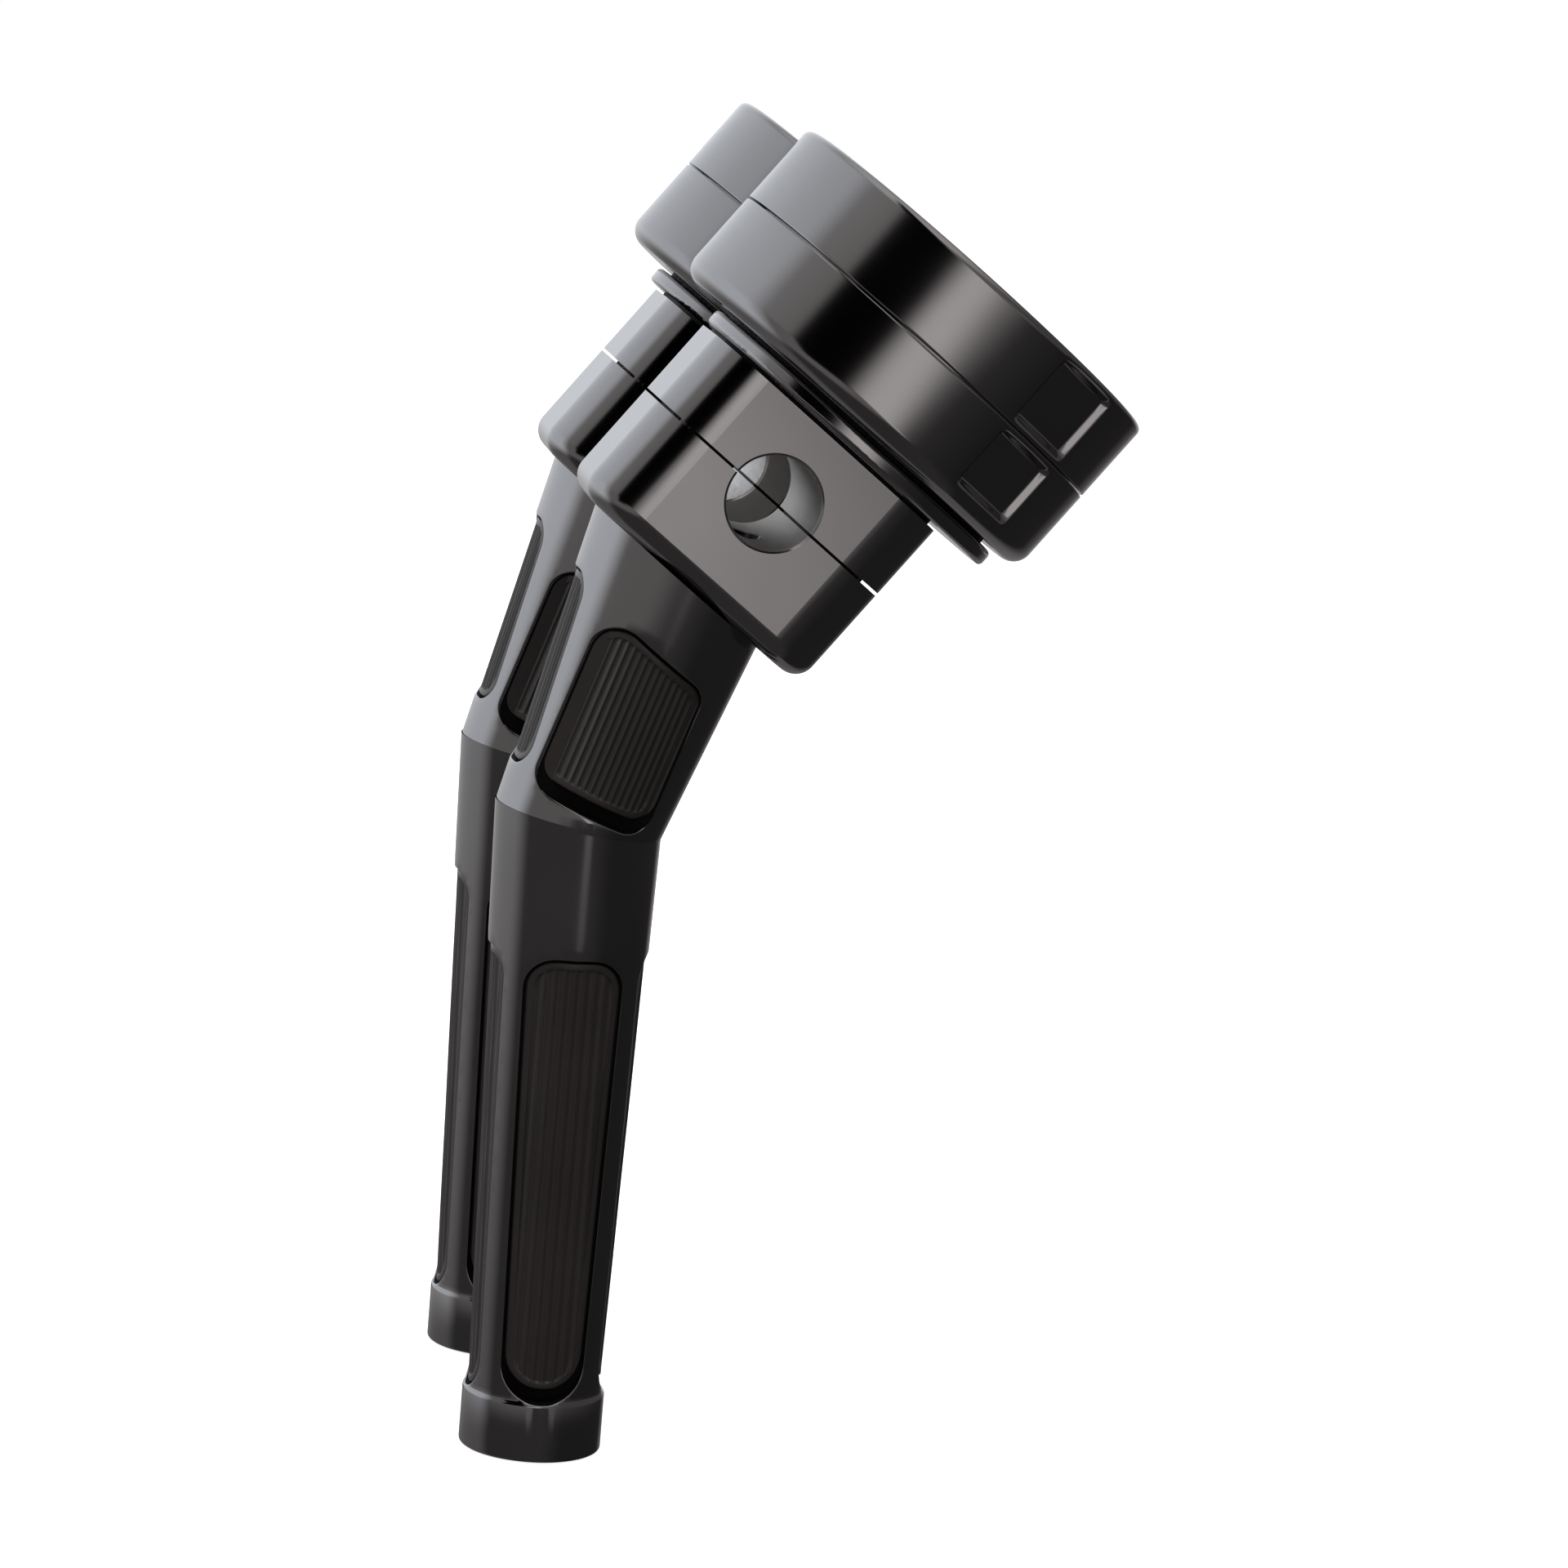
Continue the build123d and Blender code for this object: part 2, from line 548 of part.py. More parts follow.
def pod_cup(side):
    y = side * POD_OFFSET
    height = PARTING_N - PARTING_GAP / 2 - POD_N
    cup = Cylinder(POD_R, height, align=(Align.CENTER, Align.CENTER, Align.MIN))
    cup = fillet(cup.edges().filter_by(GeomType.CIRCLE).sort_by(Axis.Z)[0], POD_FILLET)
    cup = head(POD_SHIFT, y, POD_N) * cup
    cup -= disc(POD_R - CUP_WALL, height, POD_SHIFT, y, POD_N + CUP_FLOOR)
    cup -= window(side, WINDOW_LOW_N, POD_TOP_N)
    for along, across in cup_screw_places(side):
        cup -= disc(CUP_SCREW_R + 4 * FIT, 2 * CUP_FLOOR, along, across, POD_N - 1)
    return cup - disc(GROMMET_R, 2 * CUP_FLOOR, 0, grommet_y(side), POD_N - 1)


def cup_screws(side):
    seat = POD_N + CUP_FLOOR
    length = CUP_FLOOR + POD_PAD + PLATE_T - 0.4
    screw = socket_screw(CUP_SCREW_R, length, CUP_SCREW_HEAD_R, CUP_SCREW_HEAD_H)
    return Compound([head(a, b, seat) * screw for a, b in cup_screw_places(side)])


def cable_grommet(side):
    """Rubber sleeve through the cup floor and plate, with a lip inside and one below."""
    y = grommet_y(side)
    through = PLATE_T + POD_PAD + CUP_FLOOR
    sleeve = disc(GROMMET_R - FIT, through, 0, y, PLATE_N)
    sleeve += disc(GROMMET_R + GROMMET_LIP, GROMMET_LIP, 0, y, PLATE_N + through)
    sleeve += disc(GROMMET_R + GROMMET_LIP, GROMMET_LIP, 0, y, PLATE_N - GROMMET_LIP)
    return sleeve - disc(GROMMET_BORE, 3 * through, 0, y, PLATE_N - through)


def bezel_ring(side):
    """Upper ring of the pod, which turns on a spigot inside the cup to come off."""
    y = side * POD_OFFSET
    low = PARTING_N + PARTING_GAP / 2
    ring = Cylinder(POD_R, POD_TOP_N - low, align=(Align.CENTER, Align.CENTER, Align.MIN))
    ring = fillet(ring.edges().filter_by(GeomType.CIRCLE).sort_by(Axis.Z)[-1], RIM_FILLET)
    ring = head(POD_SHIFT, y, low) * ring
    ring += disc(SPIGOT_R, SPIGOT_H, POD_SHIFT, y, low - SPIGOT_H)
    ring -= disc(LENS_R, REACH, POD_SHIFT, y, low - 2 * SPIGOT_H)
    lip = disc(LENS_R + SPIGOT_T, LENS_SINK - RIM_FILLET, POD_SHIFT, y, LENS_N + LENS_T)
    ring += lip - disc(LENS_R - LIP_W, REACH, POD_SHIFT, y, LENS_N)
    ring -= window(side, low, POD_TOP_N - WINDOW_TOP_MARGIN)
    return ring


def lens(side):
    return disc(LENS_R - LENS_GAP, LENS_T, POD_SHIFT, side * POD_OFFSET, LENS_N)


def lens_seal(side):
    """Rubber ring that holds the lens up against the bezel lip."""
    y = side * POD_OFFSET
    ring = disc(LENS_R - LENS_GAP / 2, SEAL_T, POD_SHIFT, y, LENS_N - SEAL_T)
    return ring - disc(LENS_R - LIP_W, REACH, POD_SHIFT, y, LENS_N - REACH / 2)


# ---- instrument ---------------------------------------------------------------------------------------
def instrument_can(side):
    """Closed movement case standing on the cup floor, under the dial."""
    y = side * POD_OFFSET
    low = POD_N + CUP_FLOOR + CAN_FLOOR_GAP
    can = disc(DIAL_R - CAN_INSET, DIAL_N - low, POD_SHIFT, y, low)
    can += disc(HUB_R * 2, CAN_FLOOR_GAP, POD_SHIFT, y, POD_N + CUP_FLOOR)
    can -= disc(SPINDLE_R + FIT, REACH, POD_SHIFT, y, DIAL_N - 2 * SPINDLE_GRIP)
    return can


def dial_face(side):
    """Dial plate with a raised rim."""
    y = side * POD_OFFSET
    rim = disc(DIAL_R, DIAL_T + DIAL_RIM, POD_SHIFT, y, DIAL_N)
    rim -= disc(DIAL_R - DIAL_RIM, REACH, POD_SHIFT, y, DIAL_N)
    face = disc(DIAL_R, DIAL_T, POD_SHIFT, y, DIAL_N) + rim
    return face - disc(SPINDLE_R + 4 * FIT, REACH, POD_SHIFT, y, DIAL_N - 1)


def pointer(side):
    """Tapered needle with its hub and spindle, pointing at the dial's zero at rest."""
    base = DIAL_N + DIAL_T + POINTER_GAP
    tip, tail = DIAL_R - POINTER_TIP_GAP, -POINTER_TAIL
    corners = [(tail, -POINTER_W), (tip, -POINTER_W / 3), (tip, POINTER_W / 3), (tail, POINTER_W)]
    needle = extrude(make_face(Polyline(*corners, close=True)), amount=POINTER_T)
    needle += Cylinder(HUB_R, HUB_H, align=(Align.CENTER, Align.CENTER, Align.MIN))
    spindle = DIAL_T + POINTER_GAP + SPINDLE_GRIP
    needle += Cylinder(SPINDLE_R, spindle, align=(Align.CENTER, Align.CENTER, Align.MAX))
    return head(POD_SHIFT, side * POD_OFFSET, base) * Rot(0, 0, POINTER_REST) * needle


def foot_insert(y):
    """Steel thread insert pressed into the foot, flush with it."""
    low = (Align.CENTER, Align.CENTER, Align.MIN)
    sleeve = Cylinder(INSERT_R, INSERT_L, align=low) - Cylinder(FOOT_THREAD_R, FOOT_THREAD_L, align=low)
    return Pos(0, y, 0) * sleeve


os.makedirs("parts", exist_ok=True)
inserts = {name: ribbed_insert(*pocket) for name, pocket in POCKETS.items()}
post = bare_post()
for pocket in POCKETS.values():
    post -= pocket_cutter(*pocket)
post -= Cylinder(INSERT_R, INSERT_L + 0.5, align=(Align.CENTER, Align.CENTER, Align.MIN))
post -= saddle_holes(0)

for name, side in SIDES.items():
    y = side * RISER_SPACING / 2
    for piece, solid in {"post": post, **inserts}.items():
        shape = solid if side < 0 else mirror(solid, about=Plane.XZ)
        write(f"{name}_{piece}", Pos(0, y, 0) * shape)
    write(f"{name}_foot_insert", foot_insert(y))
    write(f"{name}_clamp_base", clamp_base(y))
    write(f"{name}_clamp_cap", clamp_cap(y))
    write(f"{name}_clamp_shim", clamp_shim(y))
    write(f"{name}_clamp_bolts", clamp_bolts(y))
    write(f"{name}_saddle_screw", saddle_screw(y))
    write(f"{name}_saddle_dowel", saddle_dowel(y))
    write(f"{name}_cap_pad", cap_pad(y))
    write(f"{name}_plate_screws", plate_screws(y))
    write(f"{name}_pod_pad", pod_pad(side))
    write(f"{name}_pod_cup", pod_cup(side))
    write(f"{name}_cup_screws", cup_screws(side))
    write(f"{name}_cable_grommet", cable_grommet(side))
    write(f"{name}_bezel_ring", bezel_ring(side))
    write(f"{name}_lens", lens(side))
    write(f"{name}_lens_seal", lens_seal(side))
    write(f"{name}_instrument_can", instrument_can(side))
    write(f"{name}_dial_face", dial_face(side))
    write(f"{name}_pointer", pointer(side))
write("bridge_plate", bridge_plate())
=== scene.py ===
import json
from math import acos, atan2, cos, pi, radians, sin, tan

import bmesh
import bpy
import numpy as np
from mathutils import Matrix, Vector
from mathutils.geometry import delaunay_2d_cdt

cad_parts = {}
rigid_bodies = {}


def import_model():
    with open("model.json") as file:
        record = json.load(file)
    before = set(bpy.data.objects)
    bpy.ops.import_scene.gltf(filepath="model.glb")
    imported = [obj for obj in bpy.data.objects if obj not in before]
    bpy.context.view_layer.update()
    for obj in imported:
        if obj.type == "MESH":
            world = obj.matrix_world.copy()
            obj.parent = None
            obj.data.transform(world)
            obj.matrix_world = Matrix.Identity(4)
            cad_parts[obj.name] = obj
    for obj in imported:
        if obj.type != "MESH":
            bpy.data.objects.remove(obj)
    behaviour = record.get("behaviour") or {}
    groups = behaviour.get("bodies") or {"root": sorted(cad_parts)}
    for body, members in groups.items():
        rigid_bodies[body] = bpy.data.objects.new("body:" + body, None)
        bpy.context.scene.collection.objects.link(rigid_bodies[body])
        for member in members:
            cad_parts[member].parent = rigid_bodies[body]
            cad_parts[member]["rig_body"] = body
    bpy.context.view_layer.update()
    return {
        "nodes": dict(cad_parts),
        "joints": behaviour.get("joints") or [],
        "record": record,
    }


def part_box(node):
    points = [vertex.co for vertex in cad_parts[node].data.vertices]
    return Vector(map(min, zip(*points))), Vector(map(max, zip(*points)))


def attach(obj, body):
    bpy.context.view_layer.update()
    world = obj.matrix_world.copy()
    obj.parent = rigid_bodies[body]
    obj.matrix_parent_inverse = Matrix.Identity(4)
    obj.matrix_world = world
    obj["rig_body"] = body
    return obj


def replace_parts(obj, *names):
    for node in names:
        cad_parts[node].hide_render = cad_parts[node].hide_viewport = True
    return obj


# Pair of pull-back handlebar risers with round instrument pods. Everything is in metres,
# in the CAD frame: +Z up, +X towards the rider, Y along the handlebar, left is -Y.

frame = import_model()
nodes = frame["nodes"]
joints = {joint["name"]: joint for joint in frame["joints"]}
mounts = {mount["name"]: mount for mount in frame["record"]["mounts"]}

MM = 0.001
SIDES = {"left": -1, "right": 1}

# ---- places read from the frame --------------------------------------------------------
Y_AXIS = Vector((0, 1, 0))
UP = Vector(joints["left_bezel_turn"]["axis"]).normalized()      # clamp and pod normal
ALONG = Vector((UP.z, 0, -UP.x))                                 # along the clamp
BAR = Vector(mounts["left_bar_clamp"]["pos_m"])
BAR.y = 0
BAR_R = mounts["left_bar_clamp"]["dims"]["r_mm"] * MM
RISER_Y = abs(mounts["left_foot_thread"]["pos_m"][1])
POD_Y = abs(joints["left_bezel_turn"]["pos_m"][1])
POD_SHIFT = (Vector(joints["left_bezel_turn"]["pos_m"]) - BAR).dot(ALONG)


def height_range(node):
    """Lowest and highest point of a node along the clamp normal, from the bar axis."""
    heights = [(vertex.co - BAR).dot(UP) for vertex in nodes[node].data.vertices]
    return min(heights), max(heights)


BASE_LOW = height_range("left_clamp_base")[0]
BORE_SHEEN_RING = 9 * MM                                      # width of the lighter ring round the bore, a painted reflection
BORE_SHEEN_FADE = 0.2 * MM
INNER_FACE = -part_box("left_clamp_base")[1][1]

# ---- camera, floor and light -----------------------------------------------------------
CAMERA_AT = Vector((-0.1827, -1.4970, 0.4424))
CAMERA_AIM = Vector((0.0635, 0.0, 0.1786))
CAMERA_ROLL = 4.9            # degrees
CAMERA_LENS = 126.13         # on a 36 mm sensor


def make_camera():
    data = bpy.data.cameras.new("camera")
    data.lens = CAMERA_LENS
    data.sensor_width = 36.0
    data.clip_start, data.clip_end = 0.05, 50.0
    camera = bpy.data.objects.new("camera", data)
    bpy.context.scene.collection.objects.link(camera)
    look = (CAMERA_AIM - CAMERA_AT).to_track_quat("-Z", "Y")
    camera.matrix_world = Matrix.Translation(CAMERA_AT) @ look.to_matrix().to_4x4() @ Matrix.Rotation(
        radians(CAMERA_ROLL), 4, "Z"
    )
    bpy.context.scene.camera = camera


class Nodes:
    """Short way to build a node tree."""

    def __init__(self, tree):
        self.tree = tree
        tree.nodes.clear()

    def add(self, kind, inputs=None, **settings):
        node = self.tree.nodes.new("ShaderNode" + kind)
        for key, value in settings.items():
            setattr(node, key, value)
        for key, value in (inputs or {}).items():
            self.feed(node.inputs[key], value)
        return node

    def feed(self, socket, value):
        if isinstance(value, bpy.types.NodeSocket):
            self.tree.links.new(value, socket)
        elif isinstance(value, bpy.types.Node):
            self.tree.links.new(value.outputs[0], socket)
        else:
            socket.default_value = value

    def math(self, operation, *values):
        return self.add("Math", dict(enumerate(values)), operation=operation).outputs[0]

    def step(self, value, low, high, start=0.0, end=1.0):
        """Smooth change from start to end as the value goes from low to high."""
        inputs = {"Value": value, "From Min": low, "From Max": high, "To Min": start, "To Max": end}
        return self.add("MapRange", inputs, interpolation_type="SMOOTHSTEP").outputs[0]

    def window(self, value, low, high, soft):
        """One between low and high, falling to zero over the soft width outside them."""
        rise = self.step(value, low - soft, low)
        fall = self.step(value, high, high + soft, 1.0, 0.0)
        return self.math("MULTIPLY", rise, fall)


def make_world():
    """Studio round the object: white at the left and behind, a dark gap, a narrow strip of
    light beside the camera and a brown-grey room at the front. The camera sees plain white."""
    world = bpy.data.worlds.new("studio")
    world.use_nodes = True
    tree = Nodes(world.node_tree)
    way = tree.add("SeparateXYZ", {0: tree.add("TexCoord").outputs["Generated"]})
    x, y, z = way.outputs
    turn = tree.math("DEGREES", tree.math("ARCTAN2", x, tree.math("MULTIPLY", y, -1.0)))
    rise = tree.math("DEGREES", tree.math("ARCSINE", z))
    aside = tree.math("ABSOLUTE", turn)

    # white screen at the left and behind, weaker towards the floor
    left = tree.step(turn, -104.0, -66.0, 1.0, 0.0)
    behind = tree.step(aside, 128.0, 165.0)
    screen = tree.math("MAXIMUM", left, behind)
    screen = tree.math("MULTIPLY", screen, tree.step(rise, -20.0, 4.0, 0.20, 1.0))
    screen = tree.math("MULTIPLY", screen, tree.step(rise, 25.0, 60.0, 1.0, 0.55))

    # room at the front: brown-grey, darker towards the right and the floor
    room = tree.step(turn, 10.0, 50.0, 0.25, 0.12)
    room = tree.math("MULTIPLY", room, tree.step(rise, -14.0, -3.0, 0.25, 1.0))
    room = tree.math("ADD", room, tree.step(rise, 28.0, 65.0, 0.0, 0.55))
    gap = tree.math("MULTIPLY", tree.window(turn, -52.0, -21.0, 7.0), tree.step(rise, 7.0, 14.0))
    room = tree.math("MULTIPLY", room, tree.math("SUBTRACT", 1.0, gap))

    # narrow strip of light, leaning a little
    strip_turn = tree.math("ADD", turn, tree.math("MULTIPLY", rise, 0.75))
    strip = tree.window(strip_turn, -2.0, 2.0, 5.0)
    strip = tree.math("MULTIPLY", strip, tree.window(rise, -6.0, 10.0, 10.0))

    amount = tree.math("ADD", room, tree.math("MULTIPLY", strip, 0.80))
    amount = tree.math("MAXIMUM", amount, screen)
    cool = (0.93, 0.96, 1.0, 1.0)
    warm = (1.0, 0.93, 0.90, 1.0)
    tint = tree.add("Mix", {"Factor": screen, 6: warm, 7: cool}, data_type="RGBA")
    studio = tree.add("Background", {"Color": tint.outputs[2], "Strength": amount})
    backdrop = tree.add("Background", {"Color": (1.0, 1.0, 1.0, 1.0), "Strength": 1.0})
    seen = tree.add("LightPath").outputs["Is Camera Ray"]
    mixed = tree.add("MixShader", {0: seen, 1: studio, 2: backdrop})
    tree.add("OutputWorld", {"Surface": mixed})
    bpy.context.scene.world = world


def make_floor():
    """Plain pale floor under the feet."""
    size = 6.0
    mesh = bpy.data.meshes.new("floor")
    corners = [(-size, -size, 0), (size, -size, 0), (size, size, 0), (-size, size, 0)]
    mesh.from_pydata(corners, [], [(0, 1, 2, 3)])
    floor = bpy.data.objects.new("floor", mesh)
    floor.location.z = -0.0002
    bpy.context.scene.collection.objects.link(floor)
    material = bpy.data.materials.new("floor")
    material.use_nodes = True
    tree = Nodes(material.node_tree)
    pale = tree.add("BsdfDiffuse", {"Color": (0.9, 0.9, 0.9, 1.0)})
    glow = tree.add("Emission", {"Color": (1.0, 1.0, 1.0, 1.0), "Strength": 0.85})
    tree.add("OutputMaterial", {"Surface": tree.add("AddShader", {0: pale, 1: glow})})
    mesh.materials.append(material)
    floor.visible_glossy = False
    floor.visible_diffuse = False


def make_lights():
    """Two soft boxes above, so that the tops and the dials are lit as well."""
    centre = Vector((0.05, 0, 0.25))
    for name, place, size, power in (
        ("top_box", Vector((0.1, -0.1, 1.5)), 0.9, 6.0),
        ("rear_box", Vector((0.2, 1.6, 0.9)), 0.9, 8.0),
    ):
        data = bpy.data.lights.new(name, "AREA")
        data.shape = "SQUARE"
        data.size = size
        data.energy = power
        light = bpy.data.objects.new(name, data)
        light.location = place
        light.rotation_mode = "QUATERNION"
        light.rotation_quaternion = (centre - place).to_track_quat("-Z", "Y")
        light.visible_camera = False
        light.visible_glossy = False
        bpy.context.scene.collection.objects.link(light)


# ---- materials -------------------------------------------------------------------------
def start_material(name):
    material = bpy.data.materials.new(name)
    material.use_nodes = True
    return material, Nodes(material.node_tree)


def bumped(tree, scale, strength, distance, detail=2.0):
    coord = tree.add("TexCoord").outputs["Object"]
    noise = tree.add("TexNoise", {"Vector": coord, "Scale": scale, "Detail": detail})
    inputs = {"Strength": strength, "Distance": distance, "Height": noise.outputs[0]}
    return tree.add("Bump", inputs), noise


def toned(tree, noise, dark, light):
    """Colour that drifts between two tones with a noise."""
    ramp = tree.add("ValToRGB", {0: noise.outputs[0]})
    ramp.color_ramp.elements[0].position, ramp.color_ramp.elements[1].position = 0.3, 0.7
    ramp.color_ramp.elements[0].color = (*dark, 1.0)
    ramp.color_ramp.elements[1].color = (*light, 1.0)
    return ramp


def reflection_share(tree, coord):
    """One in the bore and on a ring round it on the clamps' inner faces, zero elsewhere: where the
    lighter painted reflection goes.
    """
    place = tree.add("SeparateXYZ", {0: coord}).outputs
    sideways = tree.math("SUBTRACT", place[0], BAR.x)
    upwards = tree.math("SUBTRACT", place[2], BAR.z)
    squares = [tree.math("POWER", tree.math("ABSOLUTE", v), 2.0) for v in (sideways, upwards)]
    away = tree.math("SQRT", tree.math("ADD", *squares))
    bore = tree.step(away, BAR_R + BORE_SHEEN_FADE / 2, BAR_R + 1.5 * BORE_SHEEN_FADE, 1.0, 0.0)
    ring = tree.step(away, BAR_R + BORE_SHEEN_RING - BORE_SHEEN_FADE, BAR_R + BORE_SHEEN_RING, 1.0, 0.0)
    middle = tree.math("ABSOLUTE", place[1])
    inner = tree.step(middle, INNER_FACE, INNER_FACE + 2 * BORE_SHEEN_FADE, 1.0, 0.0)
    return tree.math("MAXIMUM", bore, tree.math("MULTIPLY", ring, inner))


def metal(name, dark, light, gloss, rough, reflection_tone=None):
    """Metal whose tone and gloss drift slightly. With a second tone, the bore round the bar axis and
    a ring on the clamps' inner faces get that lighter tone and a duller gloss, a painted reflection."""
    material, tree = start_material(name)
    bump, fine = bumped(tree, 900.0, 0.004, 0.05 * MM, 4.0)
    coord = tree.add("TexCoord").outputs["Object"]
    broad = tree.add("TexNoise", {"Vector": coord, "Scale": 14.0, "Detail": 3.0})
    colour = toned(tree, broad, dark, light).outputs[0]
    roughness = tree.step(broad.outputs[0], 0.3, 0.7, gloss, rough)
    # painted reflection: the bore and the ring round it get a lighter, duller metal
    if reflection_tone:
        share = reflection_share(tree, coord)
        tones = {"Factor": share, 6: colour, 7: (*reflection_tone, 1.0)}
        colour = tree.add("Mix", tones, data_type="RGBA").outputs[2]
        dull = tree.step(fine.outputs[0], 0.3, 0.7, 0.40, 0.52)
        roughness = tree.add("Mix", {"Factor": share, 2: roughness, 3: dull}).outputs[0]
    inputs = {"Base Color": colour, "Metallic": 1.0, "Roughness": roughness, "Normal": bump}
    tree.add("OutputMaterial", {"Surface": tree.add("BsdfPrincipled", inputs)})
    return material


def moulded(name, dark, light, gloss, rough, specular=0.5):
    """Rubber, plastic or paint with a fine moulded grain."""
    material, tree = start_material(name)
    bump, fine = bumped(tree, 1400.0, 0.25, 0.04 * MM, 5.0)
    coord = tree.add("TexCoord").outputs["Object"]
    broad = tree.add("TexNoise", {"Vector": coord, "Scale": 30.0, "Detail": 4.0})
    inputs = {
        "Base Color": toned(tree, broad, dark, light),
        "Roughness": tree.step(fine.outputs[0], 0.3, 0.7, gloss, rough),
        "Specular IOR Level": specular,
        "Normal": bump,
    }
    tree.add("OutputMaterial", {"Surface": tree.add("BsdfPrincipled", inputs)})
    return material


def glass():
    material, tree = start_material("lens_glass")
    bump, fine = bumped(tree, 60.0, 0.02, 0.02 * MM)
    inputs = {
        "Base Color": toned(tree, fine, (0.90, 0.93, 0.95), (0.94, 0.96, 0.97)),
        "Roughness": tree.step(fine.outputs[0], 0.3, 0.7, 0.0, 0.03),
        "Transmission Weight": 1.0,
        "IOR": 1.45,
        "Normal": bump,
    }
    tree.add("OutputMaterial", {"Surface": tree.add("BsdfPrincipled", inputs)})
    return material


def make_materials():
    return {
        # lighter tone in the bore and round it: painted reflection of the bright background
        "black_anodised": metal(
            "black_chrome", (0.30, 0.30, 0.31), (0.34, 0.34, 0.35), 0.10, 0.15, reflection_tone=(0.72, 0.71, 0.70)
        ),
        "ribbed_insert": moulded(
            "ribbed_insert", (0.058, 0.053, 0.052), (0.074, 0.068, 0.067), 0.28, 0.40, specular=0.7
        ),
        # near-black pocket walls: painted shade in the pockets
        "pocket_painted_shade": moulded(
            "pocket_painted_shade", (0.006, 0.006, 0.006), (0.010, 0.010, 0.010), 0.6, 0.8, specular=0.15
        ),
        "black_screw": metal("black_screw", (0.07, 0.07, 0.075), (0.12, 0.12, 0.125), 0.24, 0.38),
        "steel": metal("machined_steel", (0.48, 0.48, 0.49), (0.60, 0.60, 0.61), 0.22, 0.38),
        "rubber_seal": moulded("rubber", (0.012, 0.012, 0.012), (0.022, 0.021, 0.021), 0.55, 0.75),
        "lens_glass": glass(),
        "dial_marks": moulded("dial_marks", (0.62, 0.61, 0.58), (0.70, 0.69, 0.66), 0.45, 0.6),
        "dial": moulded("dial_black", (0.012, 0.012, 0.013), (0.02, 0.02, 0.021), 0.45, 0.6),
        "pointer": moulded("needle_orange", (0.72, 0.16, 0.03), (0.82, 0.22, 0.05), 0.3, 0.42),
        "movement": moulded("case_black", (0.03, 0.03, 0.031), (0.05, 0.05, 0.05), 0.5, 0.65),
    }


SLOT_OF = {
    "ribbed_insert": ("insert_outer", "insert_inner", "insert_front", "insert_rear"),
    "black_screw": ("clamp_bolts", "plate_screws", "cup_screws", "saddle_screw"),
    "steel": ("foot_insert", "saddle_dowel"),
    "rubber_seal": ("cap_pad", "pod_pad", "cable_grommet", "lens_seal", "clamp_shim"),
    "lens_glass": ("lens",),
    "dial": ("dial_face",),
    "pointer": ("pointer",),
    "movement": ("instrument_can",),
}


def slot_of(node):
    for slot, endings in SLOT_OF.items():
        if node.endswith(endings):
            return slot
    return "black_anodised"


def dress_nodes(materials):
    for name, node in nodes.items():
        node.data.materials.clear()
        node.data.materials.append(materials[slot_of(name)])


# ---- mesh helpers ----------------------------------------------------------------------
WELD = 0.002 * MM
SHARP = radians(34)
ARC_STEP = radians(7)
STRAIGHT_STEP = 4 * MM


def show_piece(name, mesh, node):
    """Puts a mesh into the scene, riding the body of a CAD node."""
    piece = bpy.data.objects.new(name, mesh)
    bpy.context.scene.collection.objects.link(piece)
    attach(piece, nodes[node]["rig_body"])
    return piece


def make_piece(name, side, points, faces, slot, materials, painted_shade_faces=()):
    """Mesh piece that stands for the CAD node of the same name. Points are for the left
    side, at Y = 0 for a riser or at the pod's own axis, and the right side mirrors them."""
    points = np.array(points) * (1, -side, 1)
    mesh = bpy.data.meshes.new(name)
    mesh.from_pydata(points.tolist(), [], faces)
    # listed faces, the pocket walls, take the near-black painted shade material
    for face in painted_shade_faces:
        mesh.polygons[face].material_index = 1
    shape = bmesh.new()
    shape.from_mesh(mesh)
    bmesh.ops.remove_doubles(shape, verts=shape.verts, dist=WELD)
    bmesh.ops.recalc_face_normals(shape, faces=shape.faces)
    shape.to_mesh(mesh)
    shape.free()
    mesh.shade_smooth()
    mesh.set_sharp_from_angle(angle=SHARP)
    mesh.materials.append(materials[slot])
    if painted_shade_faces:
        mesh.materials.append(materials["pocket_painted_shade"])
    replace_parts(show_piece(name + "_skin", mesh, name), name)


def strip(faces, low, high, closed=True):
    """Adds quads between two rows of point numbers."""
    count = len(low)
    for i in range(count if closed else count - 1):
        j = (i + 1) % count
        faces.append((low[i], low[j], high[j], high[i]))


def add_rings(rings, points, faces, cap=True):
    """Walls between closed rings of points, with a flat face on the last one."""
    rows = []
    for ring in rings:
        rows.append(list(range(len(points), len(points) + len(ring))))
        points.extend(np.asarray(ring).tolist())
    for low, high in zip(rows, rows[1:]):
        strip(faces, low, high)
    if cap:
        faces.append(tuple(rows[-1]))


def inside(loop, points):
    """Which 2D points lie inside a closed loop."""
    x, y = points[:, :1], points[:, 1:]
    x1, y1 = loop[:, 0], loop[:, 1]
    x2, y2 = np.roll(x1, -1), np.roll(y1, -1)
    crosses = (y1 > y) != (y2 > y)
    with np.errstate(divide="ignore", invalid="ignore"):
        at = x1 + (y - y1) * (x2 - x1) / (y2 - y1)
    return (np.sum(crosses & (x < at), axis=1) % 2) == 1


def distance_to(loop, points):
    """Distance from 2D points to a closed loop."""
    start = loop[None]
    way = (np.roll(loop, -1, axis=0) - loop)[None]
    offset = points[:, None] - start
    share = np.clip((offset * way).sum(2) / np.maximum((way * way).sum(2), 1e-18), 0, 1)
    return np.linalg.norm(offset - share[..., None] * way, axis=2).min(1)


